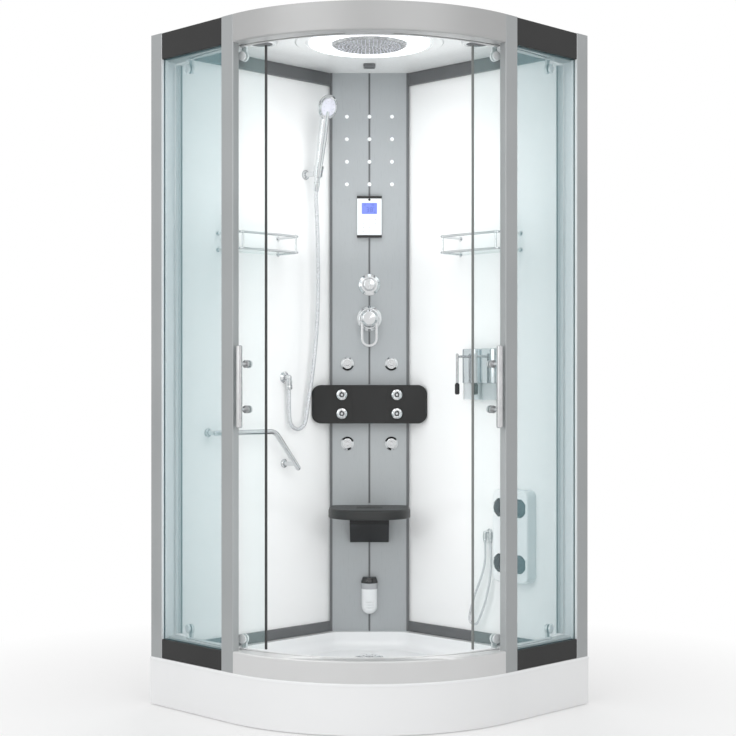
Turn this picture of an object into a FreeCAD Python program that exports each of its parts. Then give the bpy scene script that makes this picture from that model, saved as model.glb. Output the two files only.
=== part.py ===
import FreeCAD
import Part
import math
import os
from FreeCAD import Matrix, Vector

# Corner steam shower cabin, in millimetres. Plan origin at the middle of the square,
# floor at z = 0, rear corner at (-x, +y), quarter-round front facing (+x, -y).

# ---- overall ----
side = 1000.0
cabin_height = 2150.0
front_radius = 600.0
tray_height = 154.0
frame_inset = 3.0                # frame stands this far inside the tray's edge
joint_gap = 0.3                  # air between pieces that meet
smallest_turned_arc = 3.5        # smaller corners of turned pieces are chamfered

# ---- tray ----
rim_thickness = 8.0
shell_thickness = 5.0
basin_inset = 80.0
basin_depth = 59.0
basin_corner = 60.0
basin_round = 32.0
basin_rear_cut = 470.0           # centre to the basin's edge in front of the column
apron_thickness = 4.0
apron_clearance = 3.0
flange_depth = 44.0
apron_flange = 16.0
apron_inset = 1.5
apron_return = 36.0              # the apron turns this far round the rear sides
tube_size = 30.0
tube_wall = 2.0
frame_edge = 45.0                # tray edge to the centre of the support frame's tubes
front_foot = 410.0               # centre to the foot under the middle of the curve
foot_pad_radius = 26.0
foot_pad_height = 12.0
foot_rod_radius = 6.0
foot_neck_radius = 14.0
foot_nut_radius = 10.5
foot_nut_height = 8.0
drain_setback = 309.0            # centre to the drain, towards the rear corner
drain_cover_radius = 45.0
drain_recess = 3.0
drain_hole_radius = 31.0
drain_slot_radius = 3.2
drain_slot_ring = 20.0
drain_leg = 34.0
trap_radius = 48.0
trap_height = 50.0
trap_lip = 8.0
trap_wall = 4.0
drain_pipe_radius = 20.0
drain_pipe_wall = 2.0
drain_pipe_length = 110.0
drain_pipe_body = 23.0           # the pipe's thicker part, up to its spigot
drain_spigot = 40.0

# ---- frame ----
post_width = 55.0
post_depth = 24.0
post_overhang = 12.0             # post's edge past the start of the curve
profile_width = 56.0
profile_depth = 60.0
profile_step = 11.0
profile_step_depth = 27.0
profile_wall = 2.0
post_wall = 2.5
glass_seat = 3.0                 # metal between a glass slot and the hollow behind it
glass_foot = 36.0                # the fixed glass starts this far above the tray
glass_head = 50.0                # and ends this far below the cabin's top
end_cap = 3.0                    # thickness of the posts' and profiles' closed ends
glass_thickness = 5.0
glass_slot = 5.6
glass_slot_depth = 10.0
sill_height = 66.0
header_height = 86.0
rail_wall = 2.0
track_depth = 44.0
track_plate = 3.0
lower_cover_height = 61.0
upper_cover_height = 84.0
cover_depth = 20.0
cover_setback = 1.0

# ---- doors ----
door_setback = 48.0              # frame's outer face to the middle of the door glass
door_span = 44.5                 # degrees of the curve that one door covers
door_lead_gap = 0.4              # degrees from glass to the middle of the opening
door_floor_gap = 6.0
door_header_gap = 8.0
roller_inset = 80.0              # along the curve from each end of the glass
open_roller_past = 4.6           # leading roller past the start of the curve when open
roller_drop = 26.0               # bolt centre to the glass edge
wheel_radius = 11.5
wheel_width = 6.0
arm_thickness = 4.0
arm_width = 14.0
axle_radius = 3.0
carriage_bolt_radius = 6.0
carriage_cap_radius = 15.0
carriage_cap_height = 9.0
carriage_disc_radius = 14.0
clamp_disc_height = 6.0
bridge_width = 18.0
bridge_thickness = 7.0
hole_clearance = 0.2
track_slot = 8.0
track_run_out = 14.0
handle_inset = 66.0
handle_standoff = 42.0
handle_radius = 9.5
handle_length = 250.0
handle_bolt_pitch = 138.0
handle_height = 1021.5
handle_bolt_radius = 5.0
handle_knob_radius = 12.0
handle_knob_height = 11.0
seal_width = 9.0
seal_cover = 6.0
lead_seal_width = 6.6
lead_seal_cover = 2.0
fin_reach = 11.0

# ---- rear walls and column ----
wall_depth = 42.0
panel_thickness = 6.0
wall_rib = 28.0
wall_rib_pitch = 215.0
wall_rib_rows = 5
trim_thickness = 12.0
lower_trim_height = 35.0
upper_trim_height = 45.0
column_face = 491.5              # centre to the column's face, towards the rear corner
column_width = 280.0
column_sheet = 4.0
column_return = 74.0
column_strip = 9.0
strip_thickness = 1.5
groove_width = 7.0
groove_depth = 2.5
inlay_thickness = 1.2
stiffener_depth = 16.0
stiffener_thickness = 3.0
stiffener_heights = (390.0, 760.0, 1180.0, 1500.0, 1860.0)

# ---- roof ----
roof_thickness = 4.0
roof_curb = 19.0
roof_rear_cut = 572.0
roof_step_inner = 205.0
roof_step_outer = 236.0
roof_step_drop = 4.0
ring_outer = 195.0
ring_inner = 125.0
ring_depth = 8.0
rain_radius = 120.5
rain_depth = 15.0
rain_setback = 10.0
rain_nozzles = 8                 # in the inner ring, twice as many in the outer
rain_ring_pitch = 34.0
grille_offset = 347.0
grille_radius = 40.5
grille_rim = 52.0
grille_drop = 10.0
grille_slot_pitch = 9.0
grille_slot_width = 4.0
roof_ribs = 6
roof_rib_thickness = 4.0
fan_radius = 36.0
fan_hub = 15.0
fan_blades = 5
fan_duct = 40.0
fan_housing_height = 15.0
vent_setback = 349.0
vent_width = 41.0
vent_length = 50.0
vent_louvre_pitch = 8.0

# ---- fittings on the column ----
panel_height = 147.0
panel_width = 87.0
panel_depth = 14.0
key_pitch_x = 22.0
key_pitch_y = 14.0
key_width = 15.0
key_height = 9.0
key_rise = 0.8
key_top = -10.0                  # upper row of keys, from the panel's centre
panel_bar = 9.0                  # black bar across its top and its bottom
panel_centre = 1620.5
screen_width = 54.0
screen_height = 39.0
screen_centre = 1650.0
jet_pitch = 80.0
jet_foot = 1737.0               # lowest row; further rows fill the room up to the roof
jet_head_room = 100.0
small_jet_radius = 7.0
small_jet_tail = 4.0
diverter_height = 1381.0
diverter_plate = 38.5
diverter_knob_radius = 23.5
diverter_knob_top = 35.0
knob_flutes = 12
knob_flute_radius = 3.0
mixer_height = 1261.0
mixer_plate = 44.5
mixer_cap_radius = 32.5
mixer_cap_top = 36.0
plate_rise = 6.0                 # diverter plate's height off the column
large_plate_rise = 8.0           # and the mixer plate's
spindle_depth = 22.0             # spindles reach this far behind the column's face
spindle_radius = 8.0
spindle_clearance = 0.3
lever_width = 61.0
lever_band = 9.0
lever_reach = 102.0
lever_top = 20.0
lever_pivot_out = 50.0
lever_pivot_up = -8.0
pivot_pin = 2.5
dome_radius = 31.0
body_jet_x = 78.0
body_jet_heights = (1101.0, 819.0)
body_jet_radius = 24.5
nozzle_radius = 14.5
nozzle_clearance = 0.4
nozzle_mouth = 12.5
jet_tail_radius = 18.0
jet_tail_bore = 16.2
jet_tail_length = 16.0
jet_bore_radius = 3.5
back_width = 405.0
back_height = 135.0
back_centre = 958.5
back_depth = 61.5
back_jet_x = 96.5
back_jet_pitch = 66.0
back_jet_radius = 19.75
back_jet_recess = 25.0
back_corner = 34.0
back_dish = 1500.0               # radius of the shallow waist
seat_width = 280.0
seat_depth = 242.0
seat_thickness = 33.0
seat_top = 606.0
seat_bracket_width = 136.0
seat_bracket_reach = 150.0
seat_bracket_height = 102.0
seat_pin_out = 45.5
seat_pin_radius = 5.0
seat_knuckle = 11.0
seat_ear_place = 59.0
seat_ear_width = 16.0
seat_drain_width = 90.0
seat_drain_pitch = 24.0
outlet_radius = 28.5
outlet_bottom = 215.6
outlet_top = 347.7
outlet_proud = 36.0
outlet_cap = 21.0

# ---- water and steam behind the column ----
valve_radius = 24.0
valve_length = 46.0
cross_radius = 12.0
jet_pipe_radius = 5.0
inlet_spacing = 150.0
inlet_radius = 10.48
inlet_length = 40.0
pipe_radius = 7.0
pipe_depth = 530.0
riser_bend = 18.0
steam_box_width = 180.0
steam_box_depth = 88.0
steam_box_height = 300.0
steam_box_bottom = 430.0
steam_box_slope = 26.0
strap_width = 20.0
strap_thickness = 3.0
strap_reach = 18.0               # from the tank to the column and past its sides

# ---- hand shower and hoses ----
shower_along = 138.0
shower_standoff = 60.0
shower_lean = 10.0
shower_foot = 1730.0
handset_length = 258.0
handset_head = 43.0
handset_face = 32.0
handset_tilt = 8.0               # the spray face leans down by this much
handset_nozzles = 10
handset_nozzle_ring = 22.0
handset_nozzle_radius = 1.6
grip_foot_radius = 11.0
grip_radius = 13.5
grip_taper_start = 16.0
grip_taper_end = 66.0
cradle_height = 38.0
cradle_wall = 4.0
cradle_slot = 15.0
cradle_rise = 30.0               # handset's foot to the cradle's arm
cradle_rose = 17.0
hose_radius = 7.0
elbow_along = 39.1
elbow_height = 1052.0
elbow_standoff = 25.0
foot_hose_radius = 4.0
foot_elbow_places = (120.4, 144.6)
foot_elbow_height = 530.0

# ---- shelves, bar, dispenser, foot massager ----
shelf_left_end = -255.0
shelf_right_end = 10.0
shelf_reach = 110.0
shelf_upper = 1528.0
shelf_lower = 1474.0
shelf_post_inset = 16.0
shelf_rod_radius = 4.0
shelf_rose = 3.0
shelf_glass_thickness = 6.0
bar_radius = 9.0
bar_standoff = 60.0
bar_left = -316.0
bar_bend = -56.0
bar_right = 49.0
bar_upper = 869.0
bar_lower = 742.0
bar_flange = 15.0
soap_left = 34.0
soap_right = 198.0
soap_bottom = 976.0
soap_top = 1148.0
soap_body_bottom = 1033.0
soap_depth = 60.0
soap_wall = 2.5
soap_lever_width = 14.0
soap_lever_shift = 20.0
soap_lever_reach = 34.0
soap_stem_radius = 4.0
soap_stem_height = 1122.0
soap_tip_height = 1013.0
foot_width = 150.0
foot_bottom = 375.0
foot_top = 680.0
foot_centre = 243.0
foot_depth = 45.0
roller_length = 131.0
roller_radius = 29.0
roller_heights = (437.0, 620.6)
roller_proud = 19.0
roller_pin = 4.0
roller_taper = 16.0
roller_groove = 28.0

half = side / 2
wall_top = cabin_height - roof_curb
leg = side - front_radius
arc_x = -half + leg
arc_y = half - leg
frame_radius = front_radius - frame_inset
frame_plane = half - frame_inset
post_left = arc_x + post_overhang - post_width
post_right = arc_x + post_overhang
track_radius = frame_radius - post_depth
rail_inner = track_radius - track_depth
door_radius = frame_radius - door_setback
wall_inner = frame_plane - wall_depth
sill_top = tray_height + sill_height
header_bottom = cabin_height - header_height
door_bottom = sill_top + door_floor_gap
door_top = header_bottom - door_header_gap
basin_floor = tray_height - basin_depth
diagonal = math.sqrt(2.0)
up = Vector(0, 0, 1)


# ================= general shapes =================

def box(x0, x1, y0, y1, z0, z1):
    return Part.makeBox(x1 - x0, y1 - y0, z1 - z0, Vector(x0, y0, z0))


def rod(radius, start, end):
    run = Vector(*end) - Vector(*start)
    return Part.makeCylinder(radius, run.Length, Vector(*start), run)


def fused(first, *others):
    return first.multiFuse(list(others)).removeSplitter() if others else first


def cut(shape, *tools):
    return shape.cut(Part.makeCompound(list(tools)))


def rounded_wire(corners, smallest_arc=0.0):
    """Closed wire in the XY plane from (x, y, corner radius) points; tiny radii become chamfers."""
    count = len(corners)
    points = [Vector(c[0], c[1], 0) for c in corners]
    starts, middles, ends = [], [], []
    for i in range(count):
        before = (points[i - 1] - points[i]).normalize()
        after = (points[(i + 1) % count] - points[i]).normalize()
        radius = corners[i][2] if len(corners[i]) > 2 else 0.0
        angle = math.acos(max(-1.0, min(1.0, before.dot(after))))
        reach = radius / math.tan(angle / 2) if radius else 0.0
        starts.append(points[i] + before * reach)
        ends.append(points[i] + after * reach)
        bisector = before + after
        if radius:
            bisector.normalize()
            middles.append(points[i] + bisector * (radius / math.sin(angle / 2) - radius))
        else:
            middles.append(points[i])
    edges = []
    for i in range(count):
        if starts[i].distanceToPoint(ends[i]) > 1e-6:
            radius = corners[i][2] if len(corners[i]) > 2 else 0.0
            if radius < smallest_arc:
                edges.append(Part.makeLine(starts[i], ends[i]))
            else:
                edges.append(Part.Arc(starts[i], middles[i], ends[i]).toShape())
        following = starts[(i + 1) % count]
        if ends[i].distanceToPoint(following) > 1e-6:
            edges.append(Part.makeLine(ends[i], following))
    return Part.Wire(edges)


def plate(corners, z0, z1):
    """Upright prism over a rounded outline."""
    shape = Part.Face(rounded_wire(corners)).extrude(Vector(0, 0, z1 - z0))
    return shape.translated(Vector(0, 0, z0))


def turned(corners):
    """Turned piece: (radius, height above the seat) points, about the Z axis."""
    face = Part.Face(rounded_wire(corners, smallest_turned_arc))
    face.rotate(Vector(0, 0, 0), Vector(1, 0, 0), 90)
    return face.revolve(Vector(0, 0, 0), up, 360)


def rectangle(width, height, radius, x=0.0, y=0.0):
    w, h = width / 2, height / 2
    return [(x - w, y - h, radius), (x + w, y - h, radius), (x + w, y + h, radius), (x - w, y + h, radius)]


def facing_front(shape, x, y, z):
    """Lays a piece whose seat is the XY plane against an upright wall, its top towards -y."""
    turned_shape = shape.copy()
    turned_shape.rotate(Vector(0, 0, 0), Vector(1, 0, 0), 90)
    return turned_shape.translated(Vector(x, y, z))


def curve_point(radius, angle, centre=(arc_x, arc_y)):
    """Point on a plan circle; the angle counts from the start of the front curve."""
    turn = math.radians(angle)
    return Vector(centre[0] + radius * math.sin(turn), centre[1] - radius * math.cos(turn), 0)


def sector(inner, outer, start, end, z0, z1, centre=(arc_x, arc_y)):
    middle = (start + end) / 2
    corners = [curve_point(r, a, centre) for r, a in
               ((outer, start), (outer, middle), (outer, end), (inner, end), (inner, middle), (inner, start))]
    edges = [Part.Arc(*corners[0:3]).toShape(), Part.makeLine(corners[2], corners[3]),
             Part.Arc(*corners[3:6]).toShape(), Part.makeLine(corners[5], corners[0])]
    shape = Part.Face(Part.Wire(edges)).extrude(Vector(0, 0, z1 - z0))
    return shape.translated(Vector(0, 0, z0))


def quadrant(inset, z0, z1):
    """The cabin's plan, drawn in by an even margin."""
    edge = half - inset
    radius = front_radius - inset
    points = [Vector(-edge, edge, z0), Vector(-edge, -edge, z0), Vector(arc_x, -edge, z0)]
    middle = curve_point(radius, 45) + Vector(0, 0, z0)
    far = [Vector(edge, arc_y, z0), Vector(edge, edge, z0), points[0]]
    edges = [Part.makeLine(points[0], points[1]), Part.makeLine(points[1], points[2]),
             Part.Arc(points[2], middle, far[0]).toShape(), Part.makeLine(far[0], far[1]),
             Part.makeLine(far[1], far[2])]
    return Part.Face(Part.Wire(edges)).extrude(Vector(0, 0, z1 - z0))


def behind_diagonal(setback, z0, z1):
    """Everything nearer to the rear corner than a setback from the middle."""
    return on_column(box(-side, side, setback, setback + side, z0, z1))


def on_column(shape):
    """From the front view of the column (x right, y rearward) to the cabin."""
    placed = shape.copy()
    placed.rotate(Vector(0, 0, 0), up, 45)
    return placed


def on_left_wall(shape):
    """From the front view of the left wall (x right, y into the wall) to the cabin."""
    placed = shape.copy()
    placed.rotate(Vector(0, 0, 0), up, 90)
    return placed


def mirrored(shape):
    """The same piece on the other side of the cabin's diagonal."""
    return shape.mirror(Vector(0, 0, 0), Vector(1, 1, 0))


def upright_edges(shape, skip=()):
    found = []
    for edge in shape.Edges:
        ends = edge.Vertexes
        if len(ends) != 2:
            continue
        first, last = ends[0].Point, ends[1].Point
        if abs(first.x - last.x) > 1e-6 or abs(first.y - last.y) > 1e-6 or abs(first.z - last.z) < 1e-6:
            continue
        if all(math.hypot(first.x - x, first.y - y) > 1.0 for x, y in skip):
            found.append(edge)
    return found


def edges_at_height(shape, z):
    return [e for e in shape.Edges if all(abs(v.Z - z) < 1e-6 for v in e.Vertexes)]


def bent_path(points, bend=None):
    """Straight runs joined by tangent arcs; without a bend radius each arc is as large as it may be."""
    points = [Vector(*p) for p in points]
    edges, radii, start = [], [], points[0]
    for i in range(1, len(points) - 1):
        before = (points[i - 1] - points[i])
        after = (points[i + 1] - points[i])
        half_turn = (math.pi - before.getAngle(after)) / 2
        shorter = min(before.Length, after.Length)
        radius = bend if bend else 0.45 * shorter / math.tan(half_turn)
        reach = radius * math.tan(half_turn)
        before.normalize()
        after.normalize()
        inward = (before + after).normalize()
        arc_start = points[i] + before * reach
        arc_end = points[i] + after * reach
        arc_middle = points[i] + inward * (radius / math.cos(half_turn) - radius)
        edges.append(Part.makeLine(start, arc_start))
        edges.append(Part.Arc(arc_start, arc_middle, arc_end).toShape())
        radii.append(radius)
        start = arc_end
    edges.append(Part.makeLine(start, points[-1]))
    return Part.Wire(edges), radii


def bent_tube(points, radius, bend=None):
    path, radii = bent_path(points, bend)
    first, second = Vector(*points[0]), Vector(*points[1])
    profile = Part.Wire(Part.makeCircle(radius, first, second - first))
    return path.makePipeShell([profile], True, False)


def hose(name, points, radius):
    """A cord-like hose, with its bend radii and length printed."""
    path, radii = bent_path(points)
    tube = bent_tube(points, radius)
    print(name, "radii", [round(r) for r in radii], "length", round(path.Length, 1),
          "volume ratio", round(tube.Volume / (math.pi * radius * radius * path.Length), 4))
    return tube


# ================= tray =================

def basin_form(inset, floor_height, corner, bottom_round, top_height):
    form = quadrant(inset, floor_height, top_height)
    rear = behind_diagonal(basin_rear_cut + basin_inset - inset, floor_height - 1, top_height + 1)
    form = form.cut(rear)
    edge = half - inset
    form = form.makeFillet(corner, upright_edges(form, ((arc_x, -edge), (edge, arc_y))))
    return form.makeFillet(bottom_round, edges_at_height(form, floor_height))


def tray_shell():
    rim = quadrant(0, tray_height - rim_thickness, tray_height)
    rim = rim.makeFillet(rim_thickness * 0.4, edges_at_height(rim, tray_height))
    flange = quadrant(apron_thickness + 3, tray_height - flange_depth, tray_height - rim_thickness)
    flange = flange.cut(quadrant(apron_thickness + 3 + shell_thickness, tray_height - flange_depth - 1,
                                 tray_height - rim_thickness))
    bowl = basin_form(basin_inset - shell_thickness, basin_floor - shell_thickness,
                      basin_corner + shell_thickness, basin_round + shell_thickness,
                      tray_height - rim_thickness / 2)
    hollow = basin_form(basin_inset, basin_floor, basin_corner, basin_round, tray_height + 1)
    drain_x, drain_y = -drain_setback / diagonal, drain_setback / diagonal
    recess = rod(drain_cover_radius + 3, (drain_x, drain_y, basin_floor - drain_recess),
                 (drain_x, drain_y, basin_floor + 1))
    hole = rod(drain_hole_radius, (drain_x, drain_y, basin_floor - shell_thickness - 1),
               (drain_x, drain_y, basin_floor + 1))
    return fused(rim, flange, bowl).cut(hollow).cut(fused(recess, hole))


def tray_apron():
    band_top = tray_height - rim_thickness
    band = quadrant(apron_inset, apron_clearance, band_top).cut(
        quadrant(apron_inset + apron_thickness, apron_clearance - 1, band_top + 1))
    foot = quadrant(apron_inset, apron_clearance, apron_clearance + apron_thickness).cut(
        quadrant(apron_inset + apron_flange, apron_clearance - 1, tray_height))
    past = apron_return + apron_thickness
    rear_left = box(-half - 1, -half + past, -half + apron_return, half + 1, 0, tray_height)
    rear_right = mirrored(rear_left)
    rear_far = box(-half - 1, half + 1, half - past, half + 1, 0, tray_height)
    corner_keep = box(half - apron_return, half + 1, half - past - 1, half + 1, 0, tray_height)
    return cut(fused(band, foot), rear_left, rear_right.cut(corner_keep), rear_far.cut(corner_keep))


def tray_frame():
    edge = half - frame_edge
    bottom = basin_floor - shell_thickness - tube_size
    top = basin_floor - shell_thickness
    corners = [(-edge, edge), (-edge, -edge), (arc_x - 10, -edge), (edge, arc_y + 10), (edge, edge)]

    def tube(start, end, size, z0, z1):
        run = Vector(end[0] - start[0], end[1] - start[1], 0)
        bar = box(-size, run.Length + size, -size, size, z0, z1)
        bar.rotate(Vector(0, 0, 0), up, math.degrees(math.atan2(run.y, run.x)))
        return bar.translated(Vector(start[0], start[1], 0))

    runs = [(corners[i], corners[(i + 1) % len(corners)]) for i in range(len(corners))]
    lead = front_foot / diagonal
    runs += [((-edge, 0), (lead * 0.95, 0)), ((0, edge), (0, -lead * 0.95)), ((0, 0), (lead, -lead))]
    outer = fused(*[tube(a, b, tube_size / 2, bottom, top) for a, b in runs])
    inner = fused(*[tube(a, b, tube_size / 2 - tube_wall, bottom + tube_wall, top - tube_wall)
                    for a, b in runs])
    uprights = []
    for x, y in corners + [(lead, -lead)]:
        h = tube_size / 2
        uprights.append(box(x - h, x + h, y - h, y + h, bottom, tray_height - rim_thickness))
    return fused(outer.cut(inner), *uprights), corners + [(lead, -lead), (0.0, 0.0)]


def tray_feet(places):
    pad = turned([(0, 0), (foot_pad_radius, 0, 2), (foot_pad_radius - 4, foot_pad_height * 0.6, 3),
                  (foot_neck_radius, foot_pad_height), (0, foot_pad_height)])
    frame_bottom = basin_floor - shell_thickness - tube_size
    stem = rod(foot_rod_radius, (0, 0, foot_pad_height - 1), (0, 0, frame_bottom))
    corners = [(foot_nut_radius * math.cos(math.radians(60 * k)),
                foot_nut_radius * math.sin(math.radians(60 * k))) for k in range(6)]
    nut = plate(corners, frame_bottom - foot_nut_height, frame_bottom)
    foot = fused(pad, stem, nut)
    return [foot.translated(Vector(x, y, 0)) for x, y in places]


def drain_parts():
    """Trap under the basin, drawn at the origin of the column view, and its cover."""
    seat = basin_floor - shell_thickness
    trap = turned([(0, seat - trap_height), (trap_radius - 6, seat - trap_height, 8),
                   (trap_radius, seat - 14), (trap_radius + trap_lip, seat - 6),
                   (trap_radius + trap_lip, seat), (0, seat)])
    pocket_floor = seat - trap_height + trap_wall
    pocket = turned([(0, pocket_floor), (trap_radius - 10, pocket_floor, 6),
                     (trap_radius - trap_wall, seat - 12), (drain_hole_radius, seat - trap_wall),
                     (drain_hole_radius, seat + 1), (0, seat + 1)])
    pipe_z = seat - trap_height + drain_pipe_radius + 3
    end = trap_radius + drain_pipe_length
    pipe = fused(rod(drain_pipe_body, (0, 20, pipe_z), (0, end - drain_spigot, pipe_z)),
                 rod(drain_pipe_radius, (0, end - drain_spigot - 1, pipe_z), (0, end, pipe_z)))
    nut = rod(drain_pipe_body + 4, (0, trap_radius - 2, pipe_z), (0, trap_radius + 20, pipe_z))
    bore = rod(drain_pipe_radius - drain_pipe_wall, (0, 20, pipe_z), (0, end + 1, pipe_z))
    trap = fused(trap, pipe, nut).cut(fused(pocket, bore))
    low = basin_floor - drain_recess + 2
    cover = turned([(0, low), (drain_cover_radius - 2, low), (drain_cover_radius, low + 2, 1.5),
                    (drain_cover_radius - 8, basin_floor + 5, 12),
                    (0, basin_floor + 7)])
    slots = []
    for k in range(6):
        x, y = (drain_slot_ring * math.cos(math.radians(60 * k)),
                drain_slot_ring * math.sin(math.radians(60 * k)))
        slots.append(rod(drain_slot_radius, (x, y, basin_floor - 5), (x, y, basin_floor + 9)))
    legs = [box(x, x + 4, -2, 2, basin_floor - drain_recess, basin_floor - drain_recess + 3)
            for x in (drain_leg, -drain_leg - 4)]
    cover = cut(fused(cover, *legs), *slots)
    shift = Vector(0, drain_setback, 0)
    return on_column(trap.translated(shift)), on_column(cover.translated(shift))


# ================= frame =================

def front_post():
    front, back = -frame_plane, -frame_plane + post_depth
    outline = [(post_left, front, 2), (post_right, front, 3), (post_right, back, 1), (post_left, back, 1)]
    inner_left, inner_right = post_left + glass_slot_depth + glass_seat, post_right - post_wall
    bore = [(inner_left, front + post_wall, 1), (inner_right, front + post_wall, 1),
            (inner_right, back - post_wall, 1), (inner_left, back - post_wall, 1)]
    middle = (front + back) / 2
    slot = box(post_left - 1, post_left + glass_slot_depth, middle - glass_slot / 2, middle + glass_slot / 2,
               tray_height + glass_foot - joint_gap, cabin_height - glass_head + joint_gap)
    return cut(plate(outline, tray_height, cabin_height),
               plate(bore, tray_height + end_cap, cabin_height - end_cap), slot)


def wall_profile():
    front, back = -frame_plane, -frame_plane + profile_depth
    left, right = -frame_plane, -frame_plane + profile_width
    outline = [(left, front, 2), (right, front, 2), (right, front + profile_step_depth, 1),
               (right - profile_step, front + profile_step_depth, 1),
               (right - profile_step, back, 1), (left, back, 1)]
    wall = profile_wall
    inner_right = right - glass_slot_depth - glass_seat
    bore = [(left + wall, front + wall), (inner_right, front + wall),
            (inner_right, back - wall), (left + wall, back - wall)]
    middle = front + post_depth / 2
    slot = box(right - glass_slot_depth, right + 1, middle - glass_slot / 2, middle + glass_slot / 2,
               tray_height + glass_foot - joint_gap, cabin_height - glass_head + joint_gap)
    return cut(plate(outline, tray_height, cabin_height),
               plate(bore, tray_height + end_cap, cabin_height - end_cap), slot)


def side_glass():
    middle = -frame_plane + post_depth / 2
    left = -frame_plane + profile_width - glass_slot_depth + joint_gap
    right = post_left + glass_slot_depth - joint_gap
    return box(left, right, middle - glass_thickness / 2, middle + glass_thickness / 2,
               tray_height + glass_foot, cabin_height - glass_head)


def corner_covers():
    """Black glazing covers below and above one fixed side glass."""
    left = -frame_plane + profile_width + joint_gap
    right = post_left - joint_gap
    front = -frame_plane + cover_setback
    middle = -frame_plane + post_depth / 2
    covers = []
    low_end, high_end = tray_height + glass_foot - joint_gap, cabin_height - glass_head + joint_gap
    low_top, high_foot = tray_height + lower_cover_height, cabin_height - upper_cover_height
    for z0, z1, glass0, glass1 in ((tray_height, low_top, low_end, low_top + lower_cover_height),
                                   (high_foot, cabin_height, high_foot - upper_cover_height, high_end)):
        bar = box(left, right, front, front + cover_depth, z0, z1)
        outer_edges = [e for e in bar.Edges if abs(e.CenterOfMass.y - front) < 1e-6
                       and abs(e.CenterOfMass.x - (left + right) / 2) < 1e-6]
        bar = bar.makeFillet(3, outer_edges)
        slot = box(left - 1, right + 1, middle - glass_slot / 2, middle + glass_slot / 2, glass0, glass1)
        covers.append(bar.cut(slot))
    return covers


def rail(z0, z1, plate_low):
    """Curved rail with straight legs: closed box section with the track chamber behind."""
    end_x = -frame_plane + profile_width - profile_step + joint_gap
    start = math.degrees(math.asin(post_overhang / frame_radius))
    profile_room = box(-half, -frame_plane + profile_width + joint_gap, -half,
                       -frame_plane + profile_step_depth + joint_gap, z0 - 1, z1 + 1)

    def leg_bar(inner, outer, low, high, end=end_x):
        return box(end, arc_x, arc_y - outer, arc_y - inner, low, high)

    body = sector(rail_inner, frame_radius, 0, 90, z0, z1)
    edge_z = z1 if not plate_low else z0
    outer_edge = [e for e in edges_at_height(body, edge_z)
                  if len(e.Vertexes) == 2 and abs(e.BoundBox.XMax - (arc_x + frame_radius)) < 1e-3
                  and abs(e.BoundBox.YMin - (arc_y - frame_radius)) < 1e-3]
    body = body.makeFillet(5, outer_edge)
    body = fused(body, leg_bar(rail_inner, track_radius, z0, z1),
                 mirrored(leg_bar(rail_inner, track_radius, z0, z1)))
    post_room = box(arc_x - 1, post_right + joint_gap, arc_y - frame_radius - 1, arc_y - track_radius,
                    z0 - 1, z1 + 1)
    if plate_low:
        low, high = z0 + track_plate, z1 - rail_wall
    else:
        low, high = z0 + rail_wall, z1 - track_plate
    track_leg = leg_bar(rail_inner + rail_wall, track_radius - rail_wall, low, high, end_x + rail_wall)
    track = fused(sector(rail_inner + rail_wall, track_radius - rail_wall, 0, 90, low, high),
                  track_leg, mirrored(track_leg))
    chamber = sector(track_radius + rail_wall, frame_radius - rail_wall, start + 0.6, 90 - start - 0.6,
                     z0 + rail_wall, z1 - rail_wall)
    slots = track_slots(z0, z1, plate_low)
    return cut(body, post_room, mirrored(post_room), profile_room, mirrored(profile_room),
               track, chamber, *slots)


# ================= doors =================

def door_numbers():
    """Pole of the two end places of the left door, its travel, and its track circle."""
    lead = 45.0 - door_lead_gap
    trail = lead - door_span
    inset = math.degrees(roller_inset / door_radius)
    middle = (lead + trail) / 2
    half_chord = door_span / 2 - inset
    chord_radius = door_radius * math.cos(math.radians(half_chord))
    closed = curve_point(chord_radius, middle)
    opened = Vector(arc_x + open_roller_past - door_radius * math.sin(math.radians(half_chord)),
                    arc_y - door_radius, 0)
    way = opened - closed
    reach = way.Length / 2 / math.tan(math.radians(middle) / 2)
    pole = (closed + opened) * 0.5 + Vector(way.y, -way.x, 0).normalize() * reach
    rollers = [curve_point(door_radius, lead - inset), curve_point(door_radius, trail + inset)]
    circle = sum((r - pole).Length for r in rollers) / 2
    return {"lead": lead, "trail": trail, "pole": pole, "travel": middle, "rollers": rollers,
            "circle": circle}


door = door_numbers()


def opened_door(shape):
    """Turns a left door piece from its closed place to the open place at rest."""
    placed = shape.copy()
    placed.rotate(door["pole"], up, -door["travel"])
    return placed


def track_angle(point):
    run = point - door["pole"]
    return math.degrees(math.atan2(run.x, -run.y))


def track_slots(z0, z1, plate_low):
    """Slots for the door arms, on the circle that both rollers of a door follow."""
    pole = (door["pole"].x, door["pole"].y)
    spare = math.degrees(track_run_out / door["circle"])
    first = track_angle(door["rollers"][1]) - door["travel"] - spare
    last = track_angle(door["rollers"][0]) + spare
    low, high = (z0 - 1, z0 + track_plate + 1) if plate_low else (z1 - track_plate - 1, z1 + 1)
    slot = sector(door["circle"] - track_slot / 2, door["circle"] + track_slot / 2, first, last,
                  low, high, pole)
    return [slot, mirrored(slot)]


def door_glass():
    glass = sector(door_radius - glass_thickness / 2, door_radius + glass_thickness / 2,
                   door["trail"], door["lead"], door_bottom, door_top)
    holes = []
    for place in door["rollers"]:
        outward = (place - Vector(arc_x, arc_y, 0)).normalize()
        for z in (door_bottom + roller_drop, door_top - roller_drop):
            start = place - outward * 10 + Vector(0, 0, z)
            holes.append(Part.makeCylinder(carriage_bolt_radius + hole_clearance, 20, start, outward))
    place, outward = handle_place()
    for z in handle_bolts():
        start = place - outward * 10 + Vector(0, 0, z)
        holes.append(Part.makeCylinder(handle_bolt_radius + hole_clearance, 20, start, outward))
    return cut(glass, *holes)


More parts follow.
